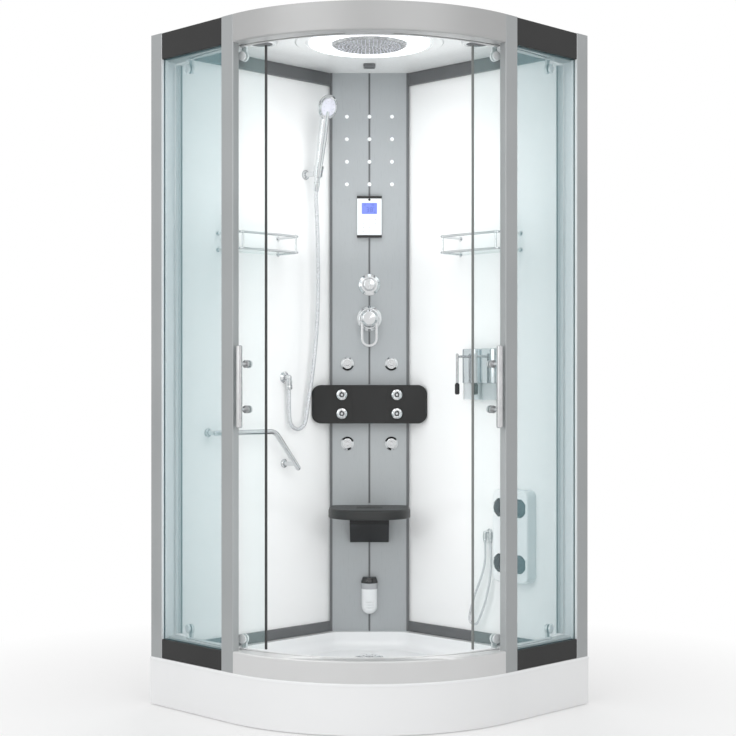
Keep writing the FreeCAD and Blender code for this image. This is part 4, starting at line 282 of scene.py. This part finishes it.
def turnedTo(tree, direction, low, high):   # 1 where a face looks along the direction
    normal = newNode(tree, "ShaderNodeNewGeometry").outputs["Normal"]
    share = newNode(tree, "ShaderNodeVectorMath", [(0, normal), (1, direction)], operation="DOT_PRODUCT")
    return spread(tree, share.outputs["Value"], 0, 1, low, high)


def either(tree, masks):
    total = masks[0]
    for mask in masks[1:]:
        total = combine(tree, "MAXIMUM", total, mask)
    return total


def vary(tree, shader, mask, socket, outside, inside):   # a value that changes where the mask is 1
    tree.links.new(spread(tree, mask, outside, inside, 0, 1), shader.inputs[socket])


towardDoors = tuple(onColumn(0, -1, 0))

# control panel: a black bar at each end
panelBars = {"heights": ((1.5400, 1.5560), (1.6850, 1.7000)), "colour": (0.012, 0.012, 0.012)}
tree, shader = part("panel_two_tone", "panel_white", "control_panel")
repaint(tree, shader, either(tree, [across(tree, "Z", *ends) for ends in panelBars["heights"]]),
        panelBars["colour"])

# steam outlet: grey window, black cap
outlet = {"window": 0.306, "cap": 0.3267, "top": 0.40, "grey": (0.42, 0.43, 0.45),
          "black": (0.016, 0.016, 0.017)}
tree, shader = part("outlet_two_tone", "panel_white", "steam_outlet")
repaint(tree, shader, across(tree, "Z", outlet["window"], outlet["top"]), outlet["grey"])
repaint(tree, shader, across(tree, "Z", outlet["cap"], outlet["top"]), outlet["black"])

# soap levers with black tips, pale door carriages
leverTips = {"heights": (0.9, 1.0335), "colour": (0.016, 0.016, 0.017)}
carriages = {"heights": ((0.1, 0.5), (1.8, 2.3)), "colour": (0.74, 0.76, 0.77)}
for side in ("left", "right"):
    tree, shader = part("soap_lever_" + side + "_two_tone", "satin_chrome", "soap_lever_" + side)
    tip = across(tree, "Z", *leverTips["heights"])
    repaint(tree, shader, tip, leverTips["colour"])
    vary(tree, shader, tip, "Metallic", 0.9, 0.0)

    tree, shader = part("door_hardware_" + side + "_two_tone", "satin_chrome", "door_hardware_" + side)
    carriage = either(tree, [across(tree, "Z", *ends) for ends in carriages["heights"]])
    repaint(tree, shader, carriage, carriages["colour"])
    vary(tree, shader, carriage, "Metallic", 0.9, 0.2)

# soap dispenser: clear cups under chromed bodies; the bodies' chrome is painted darker and teal as a painted
# reflection of dark surroundings
soap = {"foot": 0.9, "cupTop": 1.0332, "top": 1.3, "body": (0.60, 0.64, 0.66), "cup": (0.74, 0.80, 0.82),
        "cupAlpha": 0.35}
tree, shader = part("soap_cups_and_painted_reflection", "chrome", "soap_dispenser")
repaint(tree, shader, across(tree, "Z", soap["cupTop"], soap["top"]), soap["body"])
cup = across(tree, "Z", soap["foot"], soap["cupTop"])
repaint(tree, shader, cup, soap["cup"])
vary(tree, shader, cup, "Metallic", 1.0, 0.0)
vary(tree, shader, cup, "Alpha", 1.0, soap["cupAlpha"])

# foot rollers: a paler waist
waist = {"from": 0.229, "to": 0.257, "fade": 0.002, "colour": (0.16, 0.165, 0.175)}
for roller in ("lower", "upper"):
    tree, shader = part("roller_" + roller + "_two_tone", "roller_black", "foot_roller_" + roller)
    repaint(tree, shader, across(tree, "X", waist["from"], waist["to"], waist["fade"]), waist["colour"])

# door seals: dark where the doors meet, pale at the trailing edges
seals = {"left": ("X", -0.46, -0.40), "right": ("Y", 0.40, 0.46), "pale": (0.60, 0.63, 0.64),
         "lead": {"left": (0.022, 0.022, 0.022), "right": (0.16, 0.17, 0.165)}}
for side in ("left", "right"):
    tree, shader = part("door_seals_" + side + "_two_tone", "seal_dark", "door_seals_" + side)
    trailing = across(tree, *seals[side])
    repaint(tree, shader, trailing, seals["pale"])
    repaint(tree, shader, combine(tree, "SUBTRACT", 1.0, trailing), seals["lead"][side])

# wall profiles: their inner faces, seen through the side glass, painted paler as painted light where little
# light reaches them
profileFaces = {"sides": ((("X", -0.50, -0.44), (1, 0, 0)),   # place and direction of each
                          (("Y", 0.44, 0.50), (0, -1, 0))),
                "edge": (0.6, 0.9), "polished": (0.82, 0.84, 0.85)}
tree, shader = part("profile_two_tone", "satin_aluminium", "wall_profiles")
inward = [combine(tree, "MULTIPLY", across(tree, *reach), turnedTo(tree, direction, *profileFaces["edge"]))
          for reach, direction in profileFaces["sides"]]
repaint(tree, shader, either(tree, inward), profileFaces["polished"])

# back pad: painted shade on its curved edge, which takes less light
padEdge = {"flat": (0.4, 0.97), "dark": (0.007, 0.007, 0.007)}
tree, shader = part("backrest_painted_edge_shade", "backrest_black", "backrest_pad")
rounded = combine(tree, "SUBTRACT", 1.0, turnedTo(tree, towardDoors, *padEdge["flat"]))
repaint(tree, shader, rounded, padEdge["dark"])

# the pad's jets: painted shade in the groove round their middle
padJets = {"across": 0.0965, "rise": 0.033, "centre": 0.9585, "back": 0.4300, "groove": (0.0048, 0.0088),
           "dark": (0.05, 0.05, 0.052)}
tree, shader = part("jet_rings_painted_groove_shade", "chrome", "jet_rings")
grooves = []
for sideways in (-padJets["across"], padJets["across"]):
    for rise in (-padJets["rise"], padJets["rise"]):
        centre = tuple(onColumn(sideways, padJets["back"], padJets["centre"] + rise))
        inner, outer = (near(tree, centre, radius) for radius in padJets["groove"])
        grooves.append(combine(tree, "SUBTRACT", outer, inner))
groove = either(tree, grooves)
repaint(tree, shader, groove, padJets["dark"])
vary(tree, shader, groove, "Metallic", 1.0, 0.2)

# roof grilles: dark discs and plate, silver rims
grilles = {"offset": 0.24537, "height": 2.131, "disc": 0.0362, "vent": 0.2468, "ventReach": 0.05,
           "silver": (0.62, 0.63, 0.635)}
tree, shader = part("grille_two_tone", "dark_trim", "roof_grilles")
dark = [near(tree, (way * grilles["offset"], way * grilles["offset"], grilles["height"]), grilles["disc"])
        for way in (-1, 1)]
dark.append(near(tree, (-grilles["vent"], grilles["vent"], grilles["height"]), grilles["ventReach"]))
repaint(tree, shader, combine(tree, "SUBTRACT", 1.0, either(tree, dark)), grilles["silver"])
print("two-tone pieces are done")


# helpers of the small mesh pieces
def finished(mesh, name, slotName, body, look="", smooth=True):
    bmesh.ops.recalc_face_normals(mesh, faces=mesh.faces)
    data = bpy.data.meshes.new(name)
    mesh.to_mesh(data)
    mesh.free()
    data.materials.append(made[look or slotName][0])
    if smooth:
        data.shade_smooth()
    piece = bpy.data.objects.new(name, data)
    bpy.context.scene.collection.objects.link(piece)
    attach(piece, body)
    return piece


def facing(origin, outward, up=(0, 0, 1)):   # matrix whose z axis points outward
    ahead = Vector(outward).normalized()
    rise = Vector(up)
    rise = (rise - ahead * rise.dot(ahead)).normalized()
    matrix = Matrix((rise.cross(ahead), rise, ahead)).transposed().to_4x4()
    matrix.translation = origin
    return matrix


def turned(mesh, pose, profile, sides=16, lobeDepth=0.38):   # rows are radius, height and lobes
    rings = []
    for radius, height, *lobes in profile:
        ring = []
        for k in range(sides if radius > 0 else 1):
            angle = 2 * math.pi * k / sides
            reach = radius * (1 + lobeDepth * math.cos(lobes[0] * angle)) if lobes else radius
            spot = Vector((reach * math.cos(angle), reach * math.sin(angle), height))
            ring.append(mesh.verts.new(pose @ spot))
        rings.append(ring)
    for low, high in zip(rings, rings[1:]):
        for k in range(max(len(low), len(high))):
            n = k + 1
            corners = (low[k % len(low)], low[n % len(low)], high[n % len(high)], high[k % len(high)])
            corners = list(dict.fromkeys(corners))   # a cone's tip counts once
            if len(corners) > 2:
                mesh.faces.new(corners)


def slab(mesh, pose, outline, low, high):   # a prism over the outline
    bottom = [mesh.verts.new(pose @ Vector((*p, low))) for p in outline]
    top = [mesh.verts.new(pose @ Vector((*p, high))) for p in outline]
    mesh.faces.new(list(reversed(bottom)))
    mesh.faces.new(top)
    for k in range(len(outline)):
        mesh.faces.new((bottom[k - 1], bottom[k], top[k], top[k - 1]))


# the hoses follow the same points as the solids
def hoseLine(points, fineness=14):
    curve = bpy.data.curves.new("line", "CURVE")
    curve.dimensions = "3D"
    curve.resolution_u = fineness
    spline = curve.splines.new("NURBS")
    spline.points.add(len(points) - 1)
    for knot, point in zip(spline.points, points):
        knot.co = (*point, 1)
    spline.order_u = 3
    spline.use_endpoint_u = True
    holder = bpy.data.objects.new("line", curve)
    bpy.context.scene.collection.objects.link(holder)
    mesh = bpy.data.meshes.new_from_object(holder)
    line = [v.co.copy() for v in mesh.vertices]
    bpy.data.objects.remove(holder)
    return line


def evenly(line, step):   # points at even steps along the line
    spots, left = [line[0]], step
    for a, b in zip(line, line[1:]):
        run = (b - a).length
        while left < run:
            spots.append(a.lerp(b, left / run))
            left += step
        left -= run
    return spots


def ringedTube(line, radius, pitch, depth, sides=16, perPitch=4):   # a ring of points per step
    spots = evenly(line, pitch / perPitch)
    mesh = bmesh.new()
    side = Vector((1, 0, 0))
    before = None
    for i, spot in enumerate(spots):
        ahead = (spots[min(i + 1, len(spots) - 1)] - spots[max(i - 1, 0)]).normalized()
        side = (side - ahead * side.dot(ahead)).normalized()
        other = ahead.cross(side)
        thick = radius - depth * (0.5 - 0.5 * math.cos(2 * math.pi * i / perPitch))
        ring = []
        for k in range(sides):
            angle = 2 * math.pi * k / sides
            ring.append(mesh.verts.new(spot + thick * (side * math.cos(angle) + other * math.sin(angle))))
        if before:
            for k in range(sides):
                mesh.faces.new((before[k - 1], before[k], ring[k], ring[k - 1]))
        else:
            mesh.faces.new(list(reversed(ring)))
        before = ring
    mesh.faces.new(before)
    return mesh


# nuts: radius and height of each ring, from the bore round to the bore again
coneNut = [(0.0068, 0), (0.0100, 0), (0.0104, 0.004), (0.0096, 0.012), (0.0084, 0.030), (0.0080, 0.032),
           (0.0068, 0.032), (0.0068, 0)]
hexNut = [(0.0068, 0), (0.0100, 0), (0.0112, 0.001), (0.0112, 0.014), (0.0100, 0.0152), (0.0068, 0.0152),
          (0.0068, 0)]
smallNut = [(0.0039, 0), (0.0062, 0), (0.0062, 0.009), (0.0055, 0.010), (0.0050, 0.016), (0.0039, 0.016),
            (0.0039, 0)]

# each nut is its end, the body it rides on, its shape and its number of sides
hoses = {
    "shower_hose": {"radius": 0.007, "pitch": 0.0042, "depth": 0.0006, "points": [
        (-0.39503, 0.138, 1.7298), (-0.40195, 0.138, 1.6906), (-0.404, 0.146, 1.614), (-0.406, 0.1525, 1.5),
        (-0.408, 0.1565, 1.388), (-0.411, 0.156, 1.272), (-0.414, 0.149, 1.162), (-0.4165, 0.138, 1.07),
        (-0.419, 0.125, 0.996), (-0.4215, 0.1159, 0.9344), (-0.423, 0.1086, 0.8929), (-0.424, 0.0933, 0.8771),
        (-0.425, 0.0718, 0.8725), (-0.426, 0.0514, 0.8807), (-0.4269, 0.0394, 0.899), (-0.429, 0.038, 0.942),
        (-0.43, 0.0391, 0.987), (-0.43, 0.0391, 1.026)],
        "nuts": [(0, "hand_shower", coneNut, 32), (1, "cabin", hexNut, 6)]},
    "foot_hose": {"radius": 0.004, "pitch": 0.003, "depth": 0.0003, "points": [
        (0.1204, 0.43, 0.512), (0.1204, 0.43, 0.479), (0.1225, 0.429, 0.436), (0.111, 0.427, 0.389),
        (0.092, 0.425, 0.345), (0.0735, 0.424, 0.3015), (0.0602, 0.4235, 0.259), (0.0552, 0.4235, 0.2358),
        (0.0592, 0.4235, 0.2244), (0.0689, 0.424, 0.2172), (0.081, 0.424, 0.2165), (0.0914, 0.4245, 0.2226),
        (0.1018, 0.425, 0.2435), (0.1195, 0.4265, 0.284), (0.134, 0.428, 0.332), (0.1445, 0.4295, 0.384),
        (0.1485, 0.43, 0.435), (0.1446, 0.43, 0.479), (0.1446, 0.43, 0.512)],
        "nuts": [(0, "cabin", smallNut, 24), (1, "cabin", smallNut, 24)]},
}
for hoseName, way in hoses.items():
    line = hoseLine(way["points"])
    mesh = ringedTube(line, way["radius"], way["pitch"], way["depth"])
    piece = finished(mesh, hoseName + "_ringed", "hose_silver", "cabin")
    for end, body, profile, sides in way["nuts"]:
        start, ahead = (line[0], line[4]) if end == 0 else (line[-1], line[-5])   # the hose's way there
        nutMesh = bmesh.new()
        turned(nutMesh, facing(start, ahead - start, (1, 0.1, 0)), profile, sides)
        finished(nutMesh, hoseName + "_nut_" + str(end + 1), "chrome", body)
    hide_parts(hoseName)


faceBack = 0.4915   # centre to the column's face

# rain head: soft nozzles in rings
rain = {"height": 2.116, "back": 0.010, "rings": 8, "pitch": 0.0124, "perRing": 6, "rise": 0.0175,
        "nozzle": [(0.0023, -0.001), (0.0022, 0.0006), (0.0014, 0.0022), (0.0007, 0.0023), (0.0005, 0.0012),
                   (0, 0.0012)]}
mesh = bmesh.new()
for ring in range(1, rain["rings"] + 1):
    reach = ring * rain["pitch"]
    count = ring * rain["perRing"]
    for k in range(count):
        angle = 2 * math.pi * (k + 0.5 * (ring % 2)) / count
        spot = onColumn(reach * math.cos(angle), rain["back"] + reach * math.sin(angle),
                        rain["height"] + reach * rain["rise"])
        turned(mesh, facing(spot, (0, 0, -1), (1, 0, 0)), rain["nozzle"], 8)
finished(mesh, "rain_nozzles", "dark_chrome", "cabin", "pale_silicone")

# control panel: lens and key signs
panel = {"centre": 1.6205, "face": 0.014, "lens": 0.0605,
         "lensShape": [(0.0042, -0.0005), (0.0042, 0.0006), (0.0032, 0.0014), (0, 0.0019)],
         "keyTop": 0.0148, "pitch": (0.022, 0.014), "first": -0.010, "signHigh": 0.00015,
         "signs": ("power", "ring", "waves", "up", "dots", "plus", "down", "ring", "minus", "waves", "power",
                   "dots")}
signSizes = {"arrow": [(-0.0022, -0.0014), (0.0022, -0.0014), (0, 0.0018)], "line": 0.0006, "power": 0.0022,
             "ring": 0.002, "stem": (0, 0.0018), "plus": (0.0042, 0.0008), "waves": (0.004, 0.0014),
             "dot": 0.0005, "dotGap": 0.0016, "crossing": 1.5}
pose = facing(onColumn(0, faceBack - panel["face"], panel["centre"]), towardDoors)
mesh = bmesh.new()
turned(mesh, pose @ Matrix.Translation((0, panel["lens"], 0)), panel["lensShape"], 24)
finished(mesh, "panel_lens", "black_plastic", "cabin")


def bar(x, y, width, height):
    return [(x - width / 2, y - height / 2), (x + width / 2, y - height / 2),
            (x + width / 2, y + height / 2), (x - width / 2, y + height / 2)]


def roundSign(mesh, pose, radius, thin, height, sides=20):   # a flat ring
    turned(mesh, pose, [(radius - thin, 0), (radius, 0), (radius, height), (radius - thin, height),
                        (radius - thin, 0)], sides)


def keySign(mesh, pose, kind, high):
    size = signSizes
    longSide, shortSide = size["plus"]
    if kind == "power":
        roundSign(mesh, pose, size["power"], size["line"], high)
        slab(mesh, pose, bar(*size["stem"], size["line"], size["power"]), high, high * size["crossing"])
    elif kind == "ring":
        roundSign(mesh, pose, size["ring"], size["line"], high)
    elif kind == "up":
        slab(mesh, pose, size["arrow"], 0, high)
    elif kind == "down":
        slab(mesh, pose, [(x, -y) for x, y in reversed(size["arrow"])], 0, high)
    elif kind == "plus":
        slab(mesh, pose, bar(0, 0, longSide, shortSide), 0, high)
        slab(mesh, pose, bar(0, 0, shortSide, longSide), high, high * size["crossing"])
    elif kind == "minus":
        slab(mesh, pose, bar(0, 0, longSide, shortSide), 0, high)
    elif kind == "waves":
        width, gap = size["waves"]
        for y in (-gap, 0, gap):
            slab(mesh, pose, bar(0, y, width, size["line"]), 0, high)
    elif kind == "dots":
        dot = [(size["dot"], 0), (size["dot"], high), (0, high)]
        for x in (-size["dotGap"], 0, size["dotGap"]):
            turned(mesh, pose @ Matrix.Translation((x, 0, 0)), dot, 8)


mesh = bmesh.new()
for k, kind in enumerate(panel["signs"]):
    column, row = k % 3 - 1, k // 3
    move = Matrix.Translation((column * panel["pitch"][0], panel["first"] - row * panel["pitch"][1],
                               panel["keyTop"] - panel["face"]))
    keySign(mesh, pose @ move, kind, panel["signHigh"])
finished(mesh, "panel_key_signs", "panel_white", "cabin", "key_grey", False)

# the screen's seven-segment digits: the bars that each figure lights, from the top clockwise to the middle
lit = {"0": "abcdef", "1": "bc", "2": "abged", "3": "abgcd", "4": "fgbc", "8": "abcdefg"}
display = {"rise": 0.0295, "face": 0.0137, "high": 0.0002, "line": 0.2, "gap": 1.2, "spacing": 1.7,
           # figures, x, y, width, height
           "rows": [("38", 0.0004, -0.0045, 0.0075, 0.0150), ("12", -0.0185, 0.0125, 0.0034, 0.0062),
                    ("40", 0.0105, 0.0125, 0.0034, 0.0062), ("0", 0.0185, -0.012, 0.0034, 0.0062)],
           "degree": (0.0155, 0.0035, 0), "degreeRing": (0.0014, 0.0006)}


def digit(mesh, pose, figure, x, y, width, height):
    thick = width * display["line"]
    side, reach, quarter = width / 2, height / 2, height / 4
    bars = {"a": (0, reach, True), "g": (0, 0, True), "d": (0, -reach, True), "b": (side, quarter, False),
            "c": (side, -quarter, False), "f": (-side, quarter, False), "e": (-side, -quarter, False)}
    for name in lit[figure]:
        dx, dy, flat = bars[name]
        if flat:
            size = (width - display["gap"] * thick, thick)
        else:
            size = (thick, reach - display["gap"] * thick)
        slab(mesh, pose, bar(x + dx, y + dy, *size), 0, display["high"])


mesh = bmesh.new()
glass = facing(onColumn(0, faceBack - display["face"], panel["centre"] + display["rise"]), towardDoors)
for figures, x, y, width, height in display["rows"]:
    for k, figure in enumerate(figures):
        offset = (k - (len(figures) - 1) / 2) * width * display["spacing"]
        digit(mesh, glass, figure, x + offset, y, width, height)
roundSign(mesh, glass @ Matrix.Translation(display["degree"]), *display["degreeRing"], display["high"], 12)
finished(mesh, "screen_digits", "screen_blue", "cabin", "digit_blue", False)

# hand shower: pale face plate with rings of nozzles
sprayFace = {"foot": (0.138, 0.395, 1.730), "lean": 10, "head": (0, -0.008, 0.258), "nod": 98,
             "plate": [(0.0318, 0.0066), (0.0312, 0.0076), (0.026, 0.0082), (0.004, 0.0086), (0, 0.0086)],
             "rings": [(0.0075, 6), (0.0145, 12), (0.0272, 24)], "lift": 0.0080,
             "nozzle": [(0.0014, 0), (0.0013, 0.0010), (0.0008, 0.0016), (0, 0.0016)]}
handset = (Matrix.Rotation(math.radians(90), 4, "Z") @ Matrix.Translation(sprayFace["foot"])
           @ Matrix.Rotation(math.radians(sprayFace["lean"]), 4, "X"))
head = (handset @ Matrix.Translation(sprayFace["head"])
        @ Matrix.Rotation(math.radians(sprayFace["nod"]), 4, "X"))
mesh = bmesh.new()
turned(mesh, head, sprayFace["plate"], 48)
for reach, count in sprayFace["rings"]:
    for k in range(count):
        angle = 2 * math.pi * k / count
        spot = Matrix.Translation((reach * math.cos(angle), reach * math.sin(angle), sprayFace["lift"]))
        turned(mesh, head @ spot, sprayFace["nozzle"], 8)
finished(mesh, "handset_face", "chrome", "hand_shower", "pale_silicone")

# screws of the wall profiles: pan heads with a cross recess
screws = {"heights": (0.23, 0.62, 1.05, 1.48, 1.90, 2.09), "radius": 0.0042, "inset": 0.4745, "face": 0.497,
          # share of the radius, height, lobes
          "head": [(1, -0.0004), (1, 0.0006), (0.86, 0.0014), (0.6, 0.0018), (0.40, 0.0019, 4),
                   (0.30, 0.0007, 4), (0, 0.0006)]}
screwHead = [(screws["radius"] * share, *rest) for share, *rest in screws["head"]]
mesh = bmesh.new()
for height in screws["heights"]:
    for spot, outward in (((-screws["face"], -screws["inset"], height), (-1, 0, 0)),
                          ((screws["inset"], screws["face"], height), (0, 1, 0))):
        turned(mesh, facing(spot, outward), screwHead, 24)
finished(mesh, "profile_screws", "stainless_steel", "cabin")
print("small pieces are on")


# floor, backdrop and light
stageSet = {"floorSize": 9.0, "floorDrop": 0.0005, "floorPale": ((0.84, 0.84, 0.84), (0.86, 0.86, 0.86)),
            "speck": 0.02, "floorRoughness": 0.75, "nearGlow": 0.35, "nearFade": 0.75, "farFade": 1.9,
            "skyLight": 0.73,
            # name, place, aim, width, height, power
            "lamps": [("softFront", (0.6, -4.2, 2.6), (0, 0, 1.0), 3.2, 3.2, 50),
                      ("softSide", (3.4, -1.2, 3.0), (0, 0, 1.0), 3.0, 3.0, 26),
                      ("softBack", (-3.0, 3.4, 3.4), (0, 0, 1.0), 3.0, 3.0, 26),
                      ("insideFill", onColumn(0, -0.36, 0.82), onColumn(0, 0.4, 0.76), 0.5, 1.2, 3.1),
                      ("roofFill", onColumn(0, -0.05, 1.45), onColumn(0, -0.05, 2.1), 0.5, 0.5, 1.9),
                      ("ringGlow", (0, 0, 2.10), (0, 0.001, 0), 0.3, 0.3, 1.4)]}

world = bpy.context.scene.world or bpy.data.worlds.new("studio")
bpy.context.scene.world = world
world.use_nodes = True
tree = world.node_tree
tree.nodes.clear()


def seenRay(tree):   # 1 where the backdrop is seen straight, mirrored or through glass
    path = newNode(tree, "ShaderNodeLightPath")
    seen = combine(tree, "MAXIMUM", path.outputs["Is Camera Ray"], path.outputs["Is Glossy Ray"])
    return combine(tree, "MAXIMUM", seen, path.outputs["Is Transmission Ray"])


sky = newNode(tree, "ShaderNodeBackground", [("Color", (1, 1, 1, 1)), ("Strength", stageSet["skyLight"])])
white = newNode(tree, "ShaderNodeBackground", [("Color", (1, 1, 1, 1)), ("Strength", 1.0)])
both = newNode(tree, "ShaderNodeMixShader", [(0, seenRay(tree)), (1, sky.outputs[0]), (2, white.outputs[0])])
newNode(tree, "ShaderNodeOutputWorld", [("Surface", both.outputs[0])])

floorMesh = bmesh.new()
bmesh.ops.create_grid(floorMesh, x_segments=8, y_segments=8, size=stageSet["floorSize"])
floorData = bpy.data.meshes.new("floor")
floorMesh.to_mesh(floorData)
floorMesh.free()
floor = bpy.data.objects.new("floor", floorData)
bpy.context.scene.collection.objects.link(floor)
floor.location = (0, 0, -stageSet["floorDrop"])
floorPaint = bpy.data.materials.new("paleFloor")
floorPaint.use_nodes = True
tree = floorPaint.node_tree
shader = tree.nodes["Principled BSDF"]
pale = mixColour(tree, grain(tree, stageSet["speck"]), *stageSet["floorPale"])
tree.links.new(pale, shader.inputs["Base Color"])
shader.inputs["Roughness"].default_value = stageSet["floorRoughness"]
distance = newNode(tree, "ShaderNodeVectorMath", [(0, coordinates(tree))], operation="LENGTH")
outer = spread(tree, distance.outputs["Value"], stageSet["nearGlow"], 1, stageSet["nearFade"],
               stageSet["farFade"])
fade = combine(tree, "MULTIPLY", outer, seenRay(tree))
glow = newNode(tree, "ShaderNodeEmission", [("Color", (1, 1, 1, 1)), ("Strength", 1.0)])
joined = newNode(tree, "ShaderNodeMixShader", [(0, fade), (1, shader.outputs[0]), (2, glow.outputs[0])])
tree.links.new(joined.outputs[0], tree.nodes["Material Output"].inputs["Surface"])
floorData.materials.append(floorPaint)

for lampName, spot, aim, width, height, power in stageSet["lamps"]:
    lamp = bpy.data.objects.new(lampName, bpy.data.lights.new(lampName, "AREA"))
    lamp.data.shape = "RECTANGLE"
    lamp.data.size = width
    lamp.data.size_y = height
    lamp.data.energy = power
    lamp.location = spot
    lamp.rotation_euler = (Vector(aim) - Vector(spot)).to_track_quat("-Z", "Y").to_euler()
    lamp.visible_camera = False
    lamp.visible_glossy = lampName.startswith("soft")   # the small ones would show in the chrome
    bpy.context.scene.collection.objects.link(lamp)
print("studio is lit")
